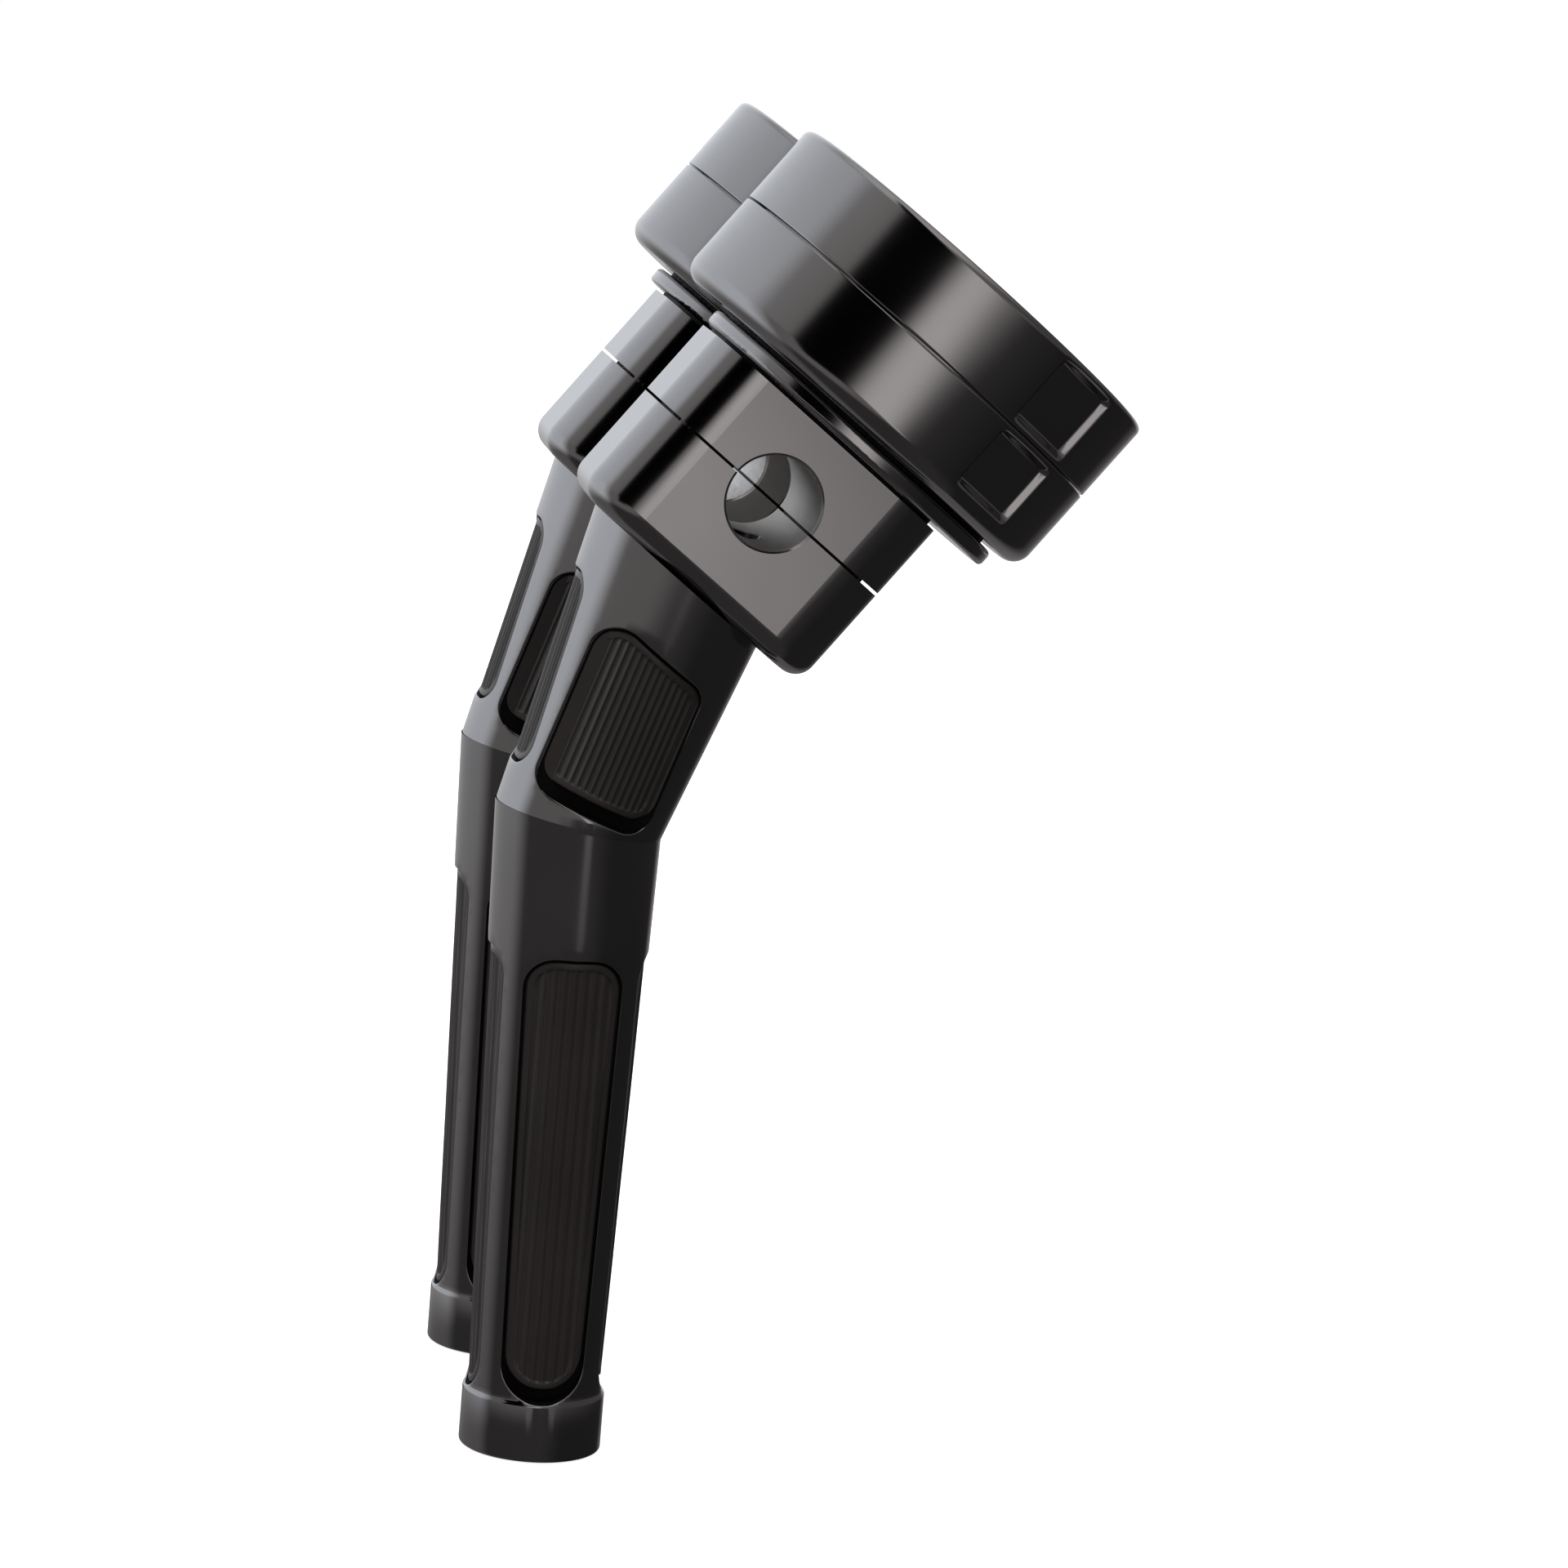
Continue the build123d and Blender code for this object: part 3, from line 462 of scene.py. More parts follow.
# ---- riser post ------------------------------------------------------------------------
FOOT_R = 19.5 * MM
FOOT_ROUND = 0.8 * MM
FOOT_HOLE_R = 9.0 * MM
FOOT_HOLE_TOP = 34.5 * MM
COLLAR_TOP = 17.0 * MM
COLLAR_BLEND = 1.5 * MM
BEND_Z = 175.7 * MM
BEND_R = 22.7 * MM
LOWER_TAPER = radians(1.36)
UPPER_LEAN = radians(18.0)
UPPER_TAPER = radians(3.7)
COLUMNS = 144
SEAM = radians(45)
ROW_STEP = 3.0 * MM
RIM_R = 0.45 * MM
RIM_STEPS = 4
ROUND_STEPS = 5
BLEND_ROWS = 6
HALVINGS = 40
NEWTON_STEPS = 8
LOOP_CLEARANCE = 0.35 * MM      # between a grid point and a pocket's rim

INSERT_SINK = 0.9 * MM
INSERT_GAP = 0.75 * MM
INSERT_EDGE_R = 0.55 * MM
END_SLOT = 3.4 * MM
POCKET_DEPTH = 5.6 * MM
LOWER_RIB_PITCH = 2.7 * MM
UPPER_RIB_PITCH = 2.0 * MM
RIB_DEPTH = 0.55 * MM
RIB_BORDER = 1.7 * MM
RIB_FADE = 0.5 * MM
RIB_ROUNDNESS = 0.7
COLUMNS_PER_RIB = 8
SIDE_COLUMNS = (0.03 * MM, 0.10 * MM, 0.2 * MM, 0.33 * MM)
END_ROWS = (0.5 * MM, 2.6 * MM, 8)      # first, last and how many, from each end
MIDDLE_ROW_STEP = 5 * MM

# pockets: half widths and corner radii as shares of the stage's radius or of the half width
LOWER_POCKET_LOW = 16.2 * MM
LOWER_POCKET_TOP = 35.7 * MM
OUTER_SHARES = (0.58, 0.62)
FRONT_SHARES = (0.5, 0.53)
LOW_ROUND = 0.96
TOP_ROUND = 0.64
UPPER_POCKET_TOP = 19.5 * MM
UPPER_POCKET_REAR = 0.8
UPPER_POCKET_FRONT = 0.68
UPPER_POCKET_LOWS = (4.5 * MM, 2.0 * MM)
UPPER_POCKET_RADII = (6.5 * MM, 6.5 * MM, 6.5 * MM, 8.0 * MM)
UPPER_REAR_LOW = 8.0 * MM
UPPER_REAR_TOP = 7.5 * MM
UPPER_REAR_SHARE = 0.5

SIDEWAYS = np.array((0.0, 1.0, 0.0))
UP_N = np.array(UP)
BAR_N = np.array(BAR)


def smooth(share):
    share = np.clip(share, 0, 1)
    return share * share * (3 - 2 * share)


class Stage:
    """One straight tapered stage of the post, with runs measured along its axis."""

    def __init__(self, origin, lean, taper, base_radius, plane_run, collar=False):
        self.origin = np.array(origin)
        self.axis = np.array((sin(lean), 0.0, cos(lean)))
        self.across = np.array((cos(lean), 0.0, -sin(lean)))
        self.taper = taper
        self.base_radius = base_radius
        self.plane_run = plane_run
        self.collar = collar

    def radius(self, run):
        cone = self.base_radius + run * tan(self.taper)
        if not self.collar:
            return cone
        share = smooth((run - COLLAR_TOP + COLLAR_BLEND) / COLLAR_BLEND)
        return FOOT_R * (1 - share) + cone * share

    def out(self, turn):
        ahead = np.multiply.outer(np.cos(turn), self.across)
        return ahead + np.multiply.outer(np.sin(turn), SIDEWAYS)

    def point(self, turn, run):
        outwards = self.out(turn) * self.radius(run)[..., None]
        return self.origin + np.multiply.outer(run, self.axis) + outwards

    def turn_and_run(self, points):
        arm = points - self.origin
        turn = np.arctan2(arm @ SIDEWAYS, arm @ self.across)
        return SEAM + np.mod(turn - SEAM, 2 * pi), arm @ self.axis

    def run_on(self, turn, normal, through):
        """Run at which the cone's line at this turn meets a plane."""
        tilt = np.cos(turn) * (self.across @ normal)
        start = (through - self.origin) @ normal - self.base_radius * tilt
        return start / (self.axis @ normal + tan(self.taper) * tilt)

    def plane(self, turn):
        """Plane against the stage: its origin, across, up and normal directions."""
        out = self.out(turn)
        up = self.axis * cos(self.taper) + out * sin(self.taper)
        normal = out * cos(self.taper) - self.axis * sin(self.taper)
        origin = self.origin + self.axis * self.plane_run
        origin = origin + out * (self.base_radius + self.plane_run * tan(self.taper))
        return origin, np.cross(up, normal), up, normal

    def drop(self, plane, flat, inset=0.0):
        """Points of a flat outline on the plane, dropped onto the stage's surface."""
        origin, across, up, normal = plane
        start = origin + flat[:, :1] * across + flat[:, 1:] * up
        low, high = np.full(len(flat), -BEND_R), np.full(len(flat), BEND_R / 2)
        inset = np.broadcast_to(inset, len(flat)) / cos(self.taper)
        for _ in range(HALVINGS):
            middle = (low + high) / 2
            arm = start + middle[:, None] * normal - self.origin
            run = arm @ self.axis
            beyond = np.hypot(arm @ self.across, arm @ SIDEWAYS) > self.radius(run) - inset
            low, high = np.where(beyond, low, middle), np.where(beyond, middle, high)
        return start + low[:, None] * normal


FOOT_CONE_R = BEND_R / cos(LOWER_TAPER) - BEND_Z * tan(LOWER_TAPER)
LOWER = Stage((0, 0, 0), 0.0, LOWER_TAPER, FOOT_CONE_R, BEND_Z / 2, collar=True)
UPPER = Stage((0, 0, BEND_Z), UPPER_LEAN, UPPER_TAPER, BEND_R / cos(UPPER_TAPER), 0.0)


def outline_cross(side):
    """Where the outlines of the two stages cross, at the rear or the front of the bend."""
    lower_way = np.array((sin(side * LOWER_TAPER), 0, cos(LOWER_TAPER)))
    lower_at = np.array((side * BEND_R / cos(LOWER_TAPER), 0, BEND_Z))
    turn = UPPER_LEAN + side * UPPER_TAPER
    upper_way = np.array((sin(turn), 0, cos(turn)))
    upper_at = UPPER.origin + UPPER.across * side * UPPER.base_radius
    gap = upper_at - lower_at
    step = gap[0] * upper_way[2] - gap[2] * upper_way[0]
    step /= lower_way[0] * upper_way[2] - lower_way[2] * upper_way[0]
    return lower_at + lower_way * step


MITRE_AT = outline_cross(1)
MITRE_ACROSS = MITRE_AT - outline_cross(-1)
MITRE_NORMAL = np.cross(MITRE_ACROSS, SIDEWAYS)


def rounded_quad(corners, radii, inset=0.0):
    """Outline through four corners, with a radius at each: points and outward directions."""
    corners = np.array(corners)
    points, directions = [], []
    for i in range(4):
        here, before, after = corners[i], corners[i - 1], corners[(i + 1) % 4]
        to_here = (here - before) / np.linalg.norm(here - before)
        onwards = (after - here) / np.linalg.norm(after - here)
        first = np.array((to_here[1], -to_here[0]))
        last = np.array((onwards[1], -onwards[0]))
        bend = acos(np.clip(first @ last, -1, 1))
        centre = here - (first + last) * radii[i] / (1 + first @ last)
        start = atan2(first[1], first[0])
        for angle in np.linspace(start, start + bend, max(4, round(bend / ARC_STEP)) + 1):
            away = np.array((cos(angle), sin(angle)))
            points.append(centre + away * (radii[i] - inset))
            directions.append(away)
    return fill_straights(np.array(points), np.array(directions))


def fill_straights(points, directions):
    """Adds points along the long straight stretches of an outline."""
    all_points, all_directions = [], []
    for i, point in enumerate(points):
        after = points[(i + 1) % len(points)]
        count = max(1, round(np.linalg.norm(after - point) / STRAIGHT_STEP))
        for share in np.arange(count) / count:
            all_points.append(point + (after - point) * share)
            all_directions.append(directions[i])
    return np.array(all_points), np.array(all_directions)



def lower_corners(shares):
    """Corners and radii of a long pocket, from its half widths as shares of the radius."""
    low, top = LOWER_POCKET_LOW - BEND_Z / 2, BEND_Z / 2 - LOWER_POCKET_TOP
    ends = np.array((LOWER_POCKET_LOW, BEND_Z - LOWER_POCKET_TOP))
    low_half, top_half = shares * (FOOT_CONE_R + ends * tan(LOWER_TAPER))
    corners = [(-low_half, low), (low_half, low), (top_half, top), (-top_half, top)]
    return corners, [LOW_ROUND * low_half] * 2 + [TOP_ROUND * top_half] * 2


def clamp_run(x):
    """How far up the upper stage the clamp's underside is, at x across its outer side."""
    middle = BASE_LOW + (BAR_N - UPPER.origin) @ UP_N
    return (middle - x * (UPPER.across @ UP_N)) / (UPPER.axis @ UP_N)


def upper_corners(flip):
    """Corners and radii of the slanted pocket, as seen from outside or flipped."""
    left, right = -UPPER_POCKET_REAR * UPPER.base_radius, UPPER_POCKET_FRONT * UPPER.base_radius
    left_low, right_low = UPPER_POCKET_LOWS
    left_top, right_top = (clamp_run(x) - UPPER_POCKET_TOP for x in (left, right))
    corners = [(left, left_low), (right, right_low), (right, right_top), (left, left_top)]
    radii = list(UPPER_POCKET_RADII)
    if flip:
        order = (1, 0, 3, 2)
        corners = [(-corners[i][0], corners[i][1]) for i in order]
        radii = [radii[i] for i in order]
    return corners, radii


def upper_rear_corners():
    """Corners and radii of the rear pocket of the upper stage."""
    half, top = UPPER_REAR_SHARE * UPPER.base_radius, clamp_run(0) - UPPER_REAR_TOP
    low = UPPER_REAR_LOW
    return [(-half, low), (half, low), (half, top), (-half, top)], [TOP_ROUND * half] * 4


# stage, turn in degrees, then corners and radii
POCKETS = {
    "lower_insert_outer": (LOWER, -90, lower_corners(OUTER_SHARES)),
    "lower_insert_inner": (LOWER, 90, lower_corners(OUTER_SHARES)),
    "lower_insert_front": (LOWER, 0, lower_corners(FRONT_SHARES)),
    "lower_insert_rear": (LOWER, 180, lower_corners(FRONT_SHARES)),
    "upper_insert_outer": (UPPER, -90, upper_corners(False)),
    "upper_insert_inner": (UPPER, 90, upper_corners(True)),
    "upper_insert_rear": (UPPER, 180, upper_rear_corners()),
}


def pocket_rings(stage, turn, corners, radii):
    """Rings of a pocket: rounded rim from the surface inwards, then its wall to the floor."""
    plane = stage.plane(radians(turn))
    flat, away = rounded_quad(corners, radii)
    rings = []
    for angle in np.linspace(0, pi / 2, RIM_STEPS + 1):
        ring = stage.drop(plane, flat + away * RIM_R * (1 - sin(angle)))
        rings.append(ring - plane[3] * RIM_R * (1 - cos(angle)))
    origin, across, up, normal = plane
    rings.append(origin + flat[:, :1] * across + flat[:, 1:] * up - normal * POCKET_DEPTH)
    return rings


def stage_surface(stage, turns, low_run, high_run, rows, points, faces, painted_shade_faces):
    """Skin of one stage between two curves, with an opening for each of its pockets. The
    surface is laid out flat, triangulated round the openings, and put back."""
    length = float(np.mean(high_run(turns) - low_run(turns)))
    around = float(stage.radius(np.array(length / 2)))

    def flatten(turn, run):
        low, high = low_run(turn), high_run(turn)
        return np.stack((turn * around, (run - low) / (high - low) * length), axis=-1)

    columns = np.append(turns, turns[0] + 2 * pi)
    grid = np.array([(turn, share) for share in rows / length for turn in columns])
    grid_flat = np.stack((grid[:, 0] * around, grid[:, 1] * length), axis=-1)
    keep = np.ones(len(grid), bool)
    loops = []
    for where, turn, (corners, radii) in POCKETS.values():
        if where is not stage:
            continue
        rings = pocket_rings(stage, turn, corners, radii)
        loop = flatten(*stage.turn_and_run(rings[0]))
        near = distance_to(loop, grid_flat) < LOOP_CLEARANCE
        keep &= ~(inside(loop, grid_flat) | near)
        loops.append((loop, rings))
    grid, grid_flat = grid[keep], grid_flat[keep]
    low, high = low_run(grid[:, 0]), high_run(grid[:, 0])
    spots = [stage.point(grid[:, 0], low + grid[:, 1] * (high - low))]
    flats, edges, count = [grid_flat], [], len(grid)
    for loop, rings in loops:
        size = len(loop)
        edges += [(count + i, count + (i + 1) % size) for i in range(size)]
        spots.append(rings[0])
        flats.append(loop)
        count += size
    flats, spots = np.concatenate(flats), np.concatenate(spots)
    flat_mm = [Vector(flat / MM) for flat in flats]
    _, _, triangles, origins, _, _ = delaunay_2d_cdt(flat_mm, edges, [], 0, 1e-5)
    number = [first[0] for first in origins]
    triangles = np.array([[number[v] for v in triangle] for triangle in triangles])
    centres = flats[triangles].mean(axis=1)
    for loop, _ in loops:
        triangles, centres = (array[~inside(loop, centres)] for array in (triangles, centres))
    start = len(points)
    points.extend(spots.tolist())
    faces.extend([tuple(start + v for v in triangle) for triangle in triangles.tolist()])
    for _, rings in loops:
        first_wall = len(faces) + RIM_STEPS * len(rings[0])
        add_rings(rings, points, faces)
        # the pocket walls get the near-black painted shade material
        painted_shade_faces.extend(range(first_wall, len(faces)))


def make_post(materials):
    """Post with its foot, collar, two stages and the mitre between them."""
    turns = SEAM + np.arange(COLUMNS) * 2 * pi / COLUMNS
    points, faces, painted_shade_faces = [], [], []

    def circle(radius, height):
        heights = np.full(COLUMNS, height)
        return np.stack((radius * np.cos(turns), radius * np.sin(turns), heights), axis=-1)

    skirt = COLLAR_TOP - COLLAR_BLEND
    round_off = np.linspace(0, pi / 2, ROUND_STEPS)
    foot = [circle(FOOT_R, skirt)]
    for angle in round_off:
        foot.append(circle(FOOT_R - FOOT_ROUND * (1 - cos(angle)), FOOT_ROUND * (1 - sin(angle))))
    foot += [circle(FOOT_HOLE_R, 0), circle(FOOT_HOLE_R, FOOT_HOLE_TOP)]
    add_rings(foot, points, faces)

    def mitre_run(turn):
        return LOWER.run_on(turn, MITRE_NORMAL, MITRE_AT)

    def skirt_run(turn):
        return np.full(np.shape(turn), skirt)

    blend_rows = np.linspace(0, COLLAR_BLEND, BLEND_ROWS)
    rows = np.linspace(COLLAR_BLEND * 2, BEND_Z - skirt, round(BEND_Z / ROW_STEP))
    rows = np.append(blend_rows, rows)
    stage_surface(LOWER, turns, skirt_run, mitre_run, rows, points, faces, painted_shade_faces)

    upper_turns, _ = UPPER.turn_and_run(LOWER.point(turns, mitre_run(turns)))
    upper_turns = np.unwrap(upper_turns)
    upper_turns -= 2 * pi * round((upper_turns[0] - turns[0]) / (2 * pi))
    under_clamp = BAR_N + UP_N * BASE_LOW

    def upper_low(turn):
        return UPPER.run_on(turn, MITRE_NORMAL, MITRE_AT)

    def upper_high(turn):
        return UPPER.run_on(turn, UP_N, under_clamp)

    length = float(np.mean(upper_high(upper_turns) - upper_low(upper_turns)))
    rows = np.linspace(0, length, round(length / ROW_STEP))
    stage_surface(UPPER, upper_turns, upper_low, upper_high, rows, points, faces, painted_shade_faces)
    top = UPPER.point(upper_turns, upper_high(upper_turns))
    add_rings([top], points, faces)
    for name, side in SIDES.items():
        moved = np.array(points) + (0, -RISER_Y, 0)
        make_piece(f"{name}_post", side, moved, faces, "black_anodised", materials, painted_shade_faces)


# ---- ribbed inserts --------------------------------------------------------------------
def blend_quad(corners, across, along):
    """Point in a four-cornered field, from its shares across and along it."""
    low = corners[0] + (corners[1] - corners[0]) * across
    high = corners[3] + (corners[2] - corners[3]) * across
    return low + (high - low) * along


def shares_in_quad(corners, points):
    """Shares across and along a four-cornered field, for each point."""
    shares = np.full((len(points), 2), 0.5)
    for _ in range(NEWTON_STEPS):
        across, along = shares[:, :1], shares[:, 1:]
        here = blend_quad(corners, across, along)
        low_way, high_way = corners[1] - corners[0], corners[2] - corners[3]
        by_across = low_way + (high_way - low_way) * along
        low, high = corners[0] + low_way * across, corners[3] + high_way * across
        by_along = high - low
        miss = points - here
        det = by_across[:, 0] * by_along[:, 1] - by_across[:, 1] * by_along[:, 0]
        shares[:, 0] += (miss[:, 0] * by_along[:, 1] - miss[:, 1] * by_along[:, 0]) / det
        shares[:, 1] += (by_across[:, 0] * miss[:, 1] - by_across[:, 1] * miss[:, 0]) / det
    return shares


def inset_quad(corners, inset):
    """Corners of the quad whose sides lie inside by the inset."""
    corners = np.array(corners)
    moved = []
    for i in range(4):
        to_here, onwards = corners[i] - corners[i - 1], corners[(i + 1) % 4] - corners[i]
        first = np.array((to_here[1], -to_here[0])) / np.linalg.norm(to_here)
        last = np.array((onwards[1], -onwards[0])) / np.linalg.norm(onwards)
        moved.append(corners[i] - (first + last) * inset / (1 + first @ last))
    return np.array(moved)


def end_shares(shares, columns, highest):
    """Where the columns end on the outline, along the field."""
    half = shares[(shares[:, 1] > 0.5) == highest]
    order = np.lexsort((-half[:, 1] if highest else half[:, 1], np.round(half[:, 0], 6)))
    half = half[order]
    first = np.append(True, np.diff(np.round(half[:, 0], 6)) > 0)
    return np.interp(columns, half[first, 0], half[first, 1])


def insert_columns(width, pitch):
    """Shares across an insert, several to each rib and closer together at the sides."""
    ribs = round((width - 2 * RIB_BORDER + 2 * INSERT_EDGE_R) / pitch)
    near_side = np.array(SIDE_COLUMNS) / width
    columns = np.linspace(0, 1, (ribs + 2) * COLUMNS_PER_RIB + 1)
    return np.sort(np.concatenate((columns, near_side, 1 - near_side)))


def insert_rows(length):
    """Shares along an insert, closer together at the ends."""
    near_end = np.append(0, np.linspace(*END_ROWS)) / length
    middle = np.linspace(0, 1, round(length / MIDDLE_ROW_STEP) + 1)
    start = near_end[-1] * 1.2
    middle = middle[(middle > start) & (middle < 1 - start)]
    return np.concatenate((near_end, middle, 1 - near_end[::-1]))


def insert_grid(field, outline, pitch):
    """Flat points of an insert's top inside its outline, and how many rows and columns."""
    shares = shares_in_quad(field, outline)
    width = np.linalg.norm(field[1] - field[0] + field[2] - field[3]) / 2
    length = np.linalg.norm(field[3] - field[0] + field[2] - field[1]) / 2
    columns, rows = insert_columns(width, pitch), insert_rows(length)
    low, high = end_shares(shares, columns, False), end_shares(shares, columns, True)
    across = np.broadcast_to(columns, (len(rows), len(columns)))
    along = low + (high - low) * rows[:, None]
    flat = blend_quad(field, across.reshape(-1, 1), along.reshape(-1, 1))
    return flat, (len(rows), len(columns))


def rib_depth(flat, outline, pitch):
    """How deep the ribs' grooves are at flat points: none in the border."""
    fade = smooth((distance_to(outline, flat) - RIB_BORDER + INSERT_EDGE_R) / RIB_FADE)
    phase = (flat[:, 0] - flat[:, 0].mean()) / pitch * 2 * pi
    groove = (0.5 + 0.5 * np.cos(phase + pi)) ** RIB_ROUNDNESS
    return RIB_DEPTH * groove * fade


def insert_edge(stage, plane, edge):
    """Rings down the rounded edge of an insert and its walls to the pocket's floor."""
    way = np.roll(edge, -1, axis=0) - np.roll(edge, 1, axis=0)
    away = np.stack((way[:, 1], -way[:, 0]), axis=-1) / np.linalg.norm(way, axis=1)[:, None]
    origin, across, up, normal = plane
    rings = []
    for angle in np.linspace(0, pi / 2, ROUND_STEPS)[1:]:
        ring = stage.drop(plane, edge + away * INSERT_EDGE_R * sin(angle), INSERT_SINK)
        rings.append(ring - normal * INSERT_EDGE_R * (1 - cos(angle)))
    flat_edge = edge + away * INSERT_EDGE_R
    floor = origin + flat_edge[:, :1] * across + flat_edge[:, 1:] * up
    rings.append(floor - normal * (POCKET_DEPTH - WELD))
    return rings


def make_insert(part, stage, turn, corners, radii, materials):
    """Ribbed insert: rounded ribs inside a plain border, with a rounded edge and its walls."""
    plane = stage.plane(radians(turn))
    slot = 0 if part.endswith("rear") else END_SLOT
    corners = [(x, y + (slot if i < 2 else 0)) for i, (x, y) in enumerate(corners)]
    inset = INSERT_GAP + INSERT_EDGE_R
    outline, _ = rounded_quad(corners, radii, inset)
    pitch = UPPER_RIB_PITCH if stage is UPPER else LOWER_RIB_PITCH
    flat, size = insert_grid(inset_quad(corners, inset), outline, pitch)
    top = stage.drop(plane, flat, INSERT_SINK + rib_depth(flat, outline, pitch))
    points, faces = top.tolist(), []
    number = np.arange(len(flat)).reshape(size)
    for low_row, high_row in zip(number, number[1:]):
        strip(faces, low_row.tolist(), high_row.tolist(), closed=False)
    sides = (number[0], number[1:, -1], number[-1, -2::-1], number[-2:0:-1, 0])
    border = np.concatenate(sides)
    add_rings([top[border]] + insert_edge(stage, plane, flat[border]), points, faces)
    for name, side in SIDES.items():
        moved = np.array(points) + (0, -RISER_Y, 0)
        make_piece(f"{name}_{part}", side, moved, faces, "ribbed_insert", materials)


# ---- pods ------------------------------------------------------------------------------
POD_R = 59.5 * MM
POD_LOW = 29.5 * MM
PARTING = 55.8 * MM
PARTING_GAP = 0.5 * MM
PARTING_ROUND = 0.35 * MM
POD_TOP = 79.9 * MM
POD_FILLET = 5.5 * MM
RIM_FILLET = 2.0 * MM
CUP_WALL = 5.0 * MM
CUP_FLOOR = 5.0 * MM
SPIGOT_R = 54.2 * MM
SPIGOT_H = 5.0 * MM
LENS_R = 52.4 * MM
LENS_TOP = 76.7 * MM
LIP_W = 3.2 * MM
LIP_T = 1.2 * MM
INNER_ROUND = 0.5 * MM
POD_COLUMNS = 240
WINDOW_TURN = radians(-58.7)
WINDOW_HALF = 11.0 * MM
WINDOW_LOW = 36.2 * MM
WINDOW_TOP = 77.3 * MM
WINDOW_DEPTH = 3.0 * MM
WINDOW_EDGE = 1.5 * MM
WINDOW_LAND = 2.4 * MM
EDGE_STEPS = 6
WALL_STEP = 2.5 * MM
FLOOR_STEP = 1.6 * MM
FLOOR_REACH = POD_R - WINDOW_DEPTH


def recess_share(outside):
    """How deep the recess is, as a share, this far outside its edge, or inside if negative."""
    share = np.clip((WINDOW_EDGE - outside) / (2 * WINDOW_EDGE), 0, 1)
    return 0.5 - 0.5 * np.cos(pi * share)


def closer_at(edges, start, end, step):
    """Values from start to end, about a step apart, and close together across each edge."""
    values = [start, end]
    for edge in edges:
        values += list(edge + WINDOW_EDGE * np.linspace(-1, 1, 2 * EDGE_STEPS + 1))
    values = sorted(values)
    filled = []
    for low, high in zip(values, values[1:]):
        filled += list(np.linspace(low, high, max(1, round((high - low) / step)) + 1)[:-1])
    return np.array([value for value in filled if start <= value < end] + [end])


def pod_turns():
    """Angles round the pod from the middle of the recess, close together at its edges."""
    limit = WINDOW_HALF + 2 * WINDOW_EDGE
    across = closer_at((-WINDOW_HALF, WINDOW_HALF), -limit, limit, FLOOR_STEP)
    near = np.arcsin(across / POD_R)
    rest = np.linspace(near[-1], near[0] + 2 * pi, POD_COLUMNS)[1:-1]
    return np.concatenate((near, rest))


def pod_ring(turns, radius, height, recessed):
    """One closed ring round the pod axis, pressed in where the recess is."""
    across, reach = radius * np.sin(turns), radius * np.cos(turns)
    if recessed:
        land = WINDOW_LAND - abs(height - PARTING)
        outside_end = max(WINDOW_LOW - height, height - WINDOW_TOP, land)
        depth = recess_share(np.abs(across) - WINDOW_HALF) * recess_share(outside_end)
        pressed = np.minimum(reach, reach + (FLOOR_REACH - reach) * depth)
        reach = np.where(reach > 0, pressed, reach)
    along = reach * cos(WINDOW_TURN) - across * sin(WINDOW_TURN)
    sideways = reach * sin(WINDOW_TURN) + across * cos(WINDOW_TURN)
    centre = np.array(BAR + ALONG * POD_SHIFT + UP * height)
    return centre + np.outer(along, np.array(ALONG)) + np.outer(sideways, SIDEWAYS)


def quarter(radius, height, size, start, end, steps):
    """Rounded corner in a pod section, about the centre given."""
    angles = np.linspace(radians(start), radians(end), steps)
    return [(radius + size * cos(a), height + size * sin(a), True) for a in angles]


def make_pod_piece(part, section, closed, materials):
    """Turned piece of the pod from its section of radius, height and recessed or not."""
    turns = pod_turns()
    rings = [pod_ring(turns, *row) for row in section]
    points, faces = [], []
    if closed:
        add_rings(rings + rings[:1], points, faces, cap=False)
    else:
        add_rings(rings, points, faces)
        faces.append(tuple(range(len(turns))))
    for name, side in SIDES.items():
        moved = np.array(points) + (0, -POD_Y, 0)
        make_piece(f"{name}_{part}", side, moved, faces, "black_anodised", materials)


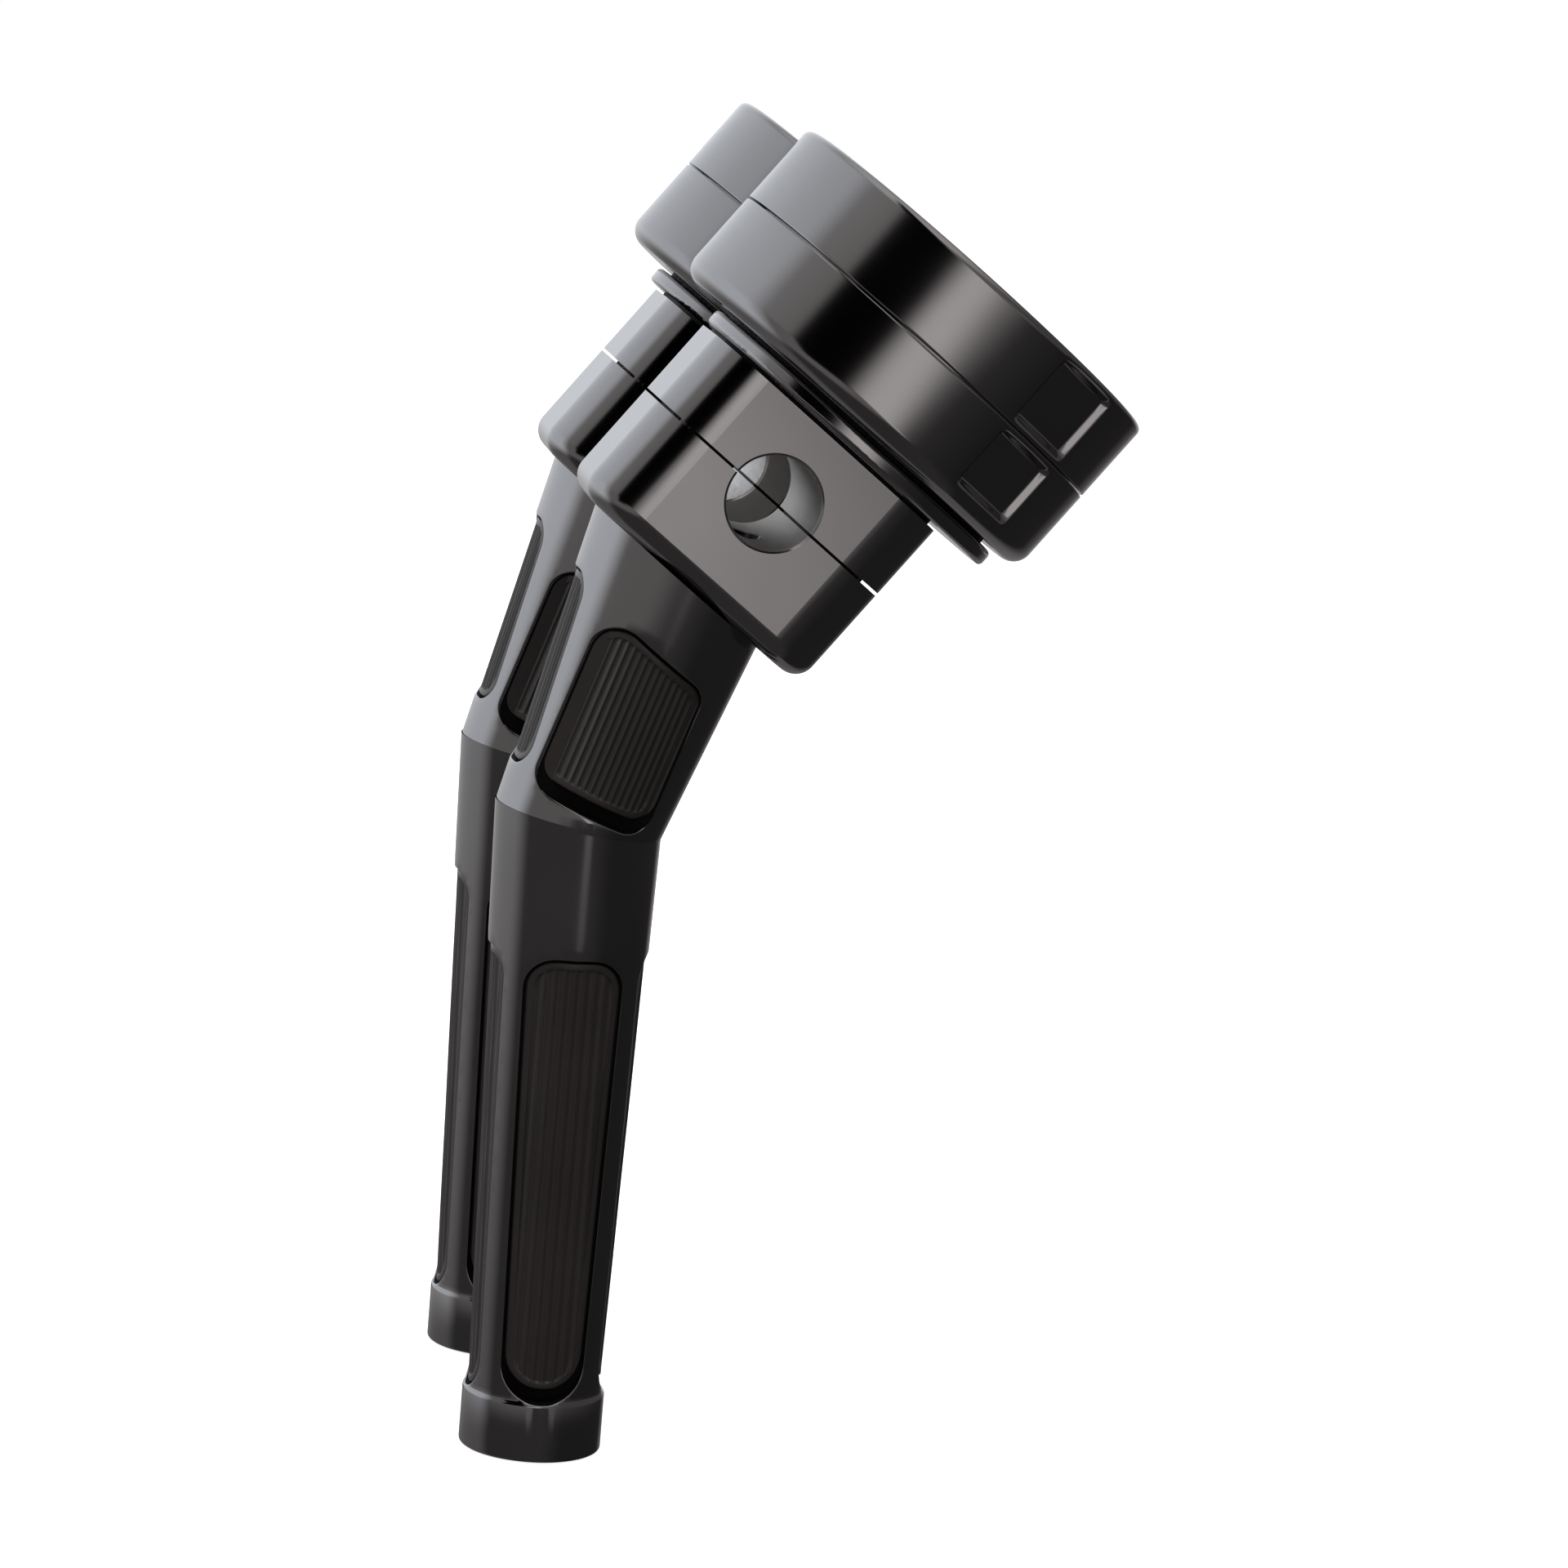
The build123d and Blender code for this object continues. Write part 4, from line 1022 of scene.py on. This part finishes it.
def make_pods(materials):
    """Cup and bezel ring, each turned from its section, with a gap at the parting line."""
    gap_low, gap_high = PARTING - PARTING_GAP / 2, PARTING + PARTING_GAP / 2
    edge, inner = PARTING_ROUND, POD_R - CUP_WALL
    cup = [(POD_R / 2, POD_LOW, False)]
    cup += quarter(POD_R - POD_FILLET, POD_LOW + POD_FILLET, POD_FILLET, -90, 0, 12)
    ends = (WINDOW_LOW, PARTING - WINDOW_LAND)
    wall = closer_at(ends, POD_LOW + POD_FILLET, gap_low - edge, WALL_STEP)[1:-1]
    cup += [(POD_R, height, True) for height in wall]
    cup += quarter(POD_R - edge, gap_low - edge, edge, 0, 90, 4)
    cup += [(inner, gap_low, False), (inner, POD_LOW + CUP_FLOOR, False)]
    make_pod_piece("pod_cup", cup, False, materials)

    low, mouth, lip_top = gap_high - SPIGOT_H, LENS_R - LIP_W, LENS_TOP + LIP_T
    bezel = [(LENS_R, low, False), (SPIGOT_R, low, False), (SPIGOT_R, gap_high, False)]
    bezel += quarter(POD_R - edge, gap_high + edge, edge, -90, 0, 4)
    ends, rim = (PARTING + WINDOW_LAND, WINDOW_TOP), POD_TOP - RIM_FILLET
    wall = closer_at(ends, gap_high + edge, rim + WELD, WALL_STEP)[1:-1]
    bezel += [(POD_R, height, True) for height in wall if height < rim]
    bezel += quarter(POD_R - RIM_FILLET, rim, RIM_FILLET, 0, 90, 8)
    bezel += quarter(LENS_R + INNER_ROUND, POD_TOP - INNER_ROUND, INNER_ROUND, 90, 180, 5)
    bezel += [(LENS_R, lip_top, False), (mouth, lip_top, False)]
    bezel += [(mouth, LENS_TOP, False), (LENS_R, LENS_TOP, False)]
    make_pod_piece("bezel_ring", bezel, True, materials)


# ---- dial marks ------------------------------------------------------------------------
SCALE_START = radians(135)
SCALE_SWEEP = radians(270)
SCALE_STEPS = 36
LONG_EVERY = 4
MARK_OUTER = 46.5 * MM
MARK_LONG, MARK_SHORT = 6.5 * MM, 3.5 * MM
MARK_HALF = 0.55 * MM
MARK_T = 0.15 * MM
DIAL_PLATE_T = 1.5 * MM


def make_dial_marks(materials):
    """Raised scale marks on each dial, every fourth one long, over the needle's sweep."""
    for name, side in SIDES.items():
        base = height_range(f"{name}_dial_face")[0] + DIAL_PLATE_T
        centre = BAR + ALONG * POD_SHIFT + Y_AXIS * side * POD_Y
        points, faces = [], []
        for step in range(SCALE_STEPS + 1):
            turn = SCALE_START - SCALE_SWEEP * step / SCALE_STEPS
            length = MARK_SHORT if step % LONG_EVERY else MARK_LONG
            out = ALONG * cos(turn) + Y_AXIS * sin(turn)
            across = UP.cross(out)
            start = len(points)
            for height in (base, base + MARK_T):
                for reach, half in ((-length, -1), (0, -1), (0, 1), (-length, 1)):
                    place = centre + UP * height + out * (MARK_OUTER + reach)
                    points.append(place + across * half * MARK_HALF)
            low, high = range(start, start + 4), range(start + 4, start + 8)
            faces += [tuple(reversed(low)), tuple(high)]
            strip(faces, low, high)
        mesh = bpy.data.meshes.new(f"{name}_dial_marks")
        mesh.from_pydata(points, [], faces)
        mesh.materials.append(materials["dial_marks"])
        show_piece(f"{name}_dial_marks", mesh, f"{name}_dial_face")


make_camera()
make_world()
make_floor()
make_lights()
bpy.context.scene.view_settings.view_transform = "Standard"
materials = make_materials()
dress_nodes(materials)
make_post(materials)
for part, (stage, turn, (corners, radii)) in POCKETS.items():
    make_insert(part, stage, turn, corners, radii, materials)
make_pods(materials)
make_dial_marks(materials)
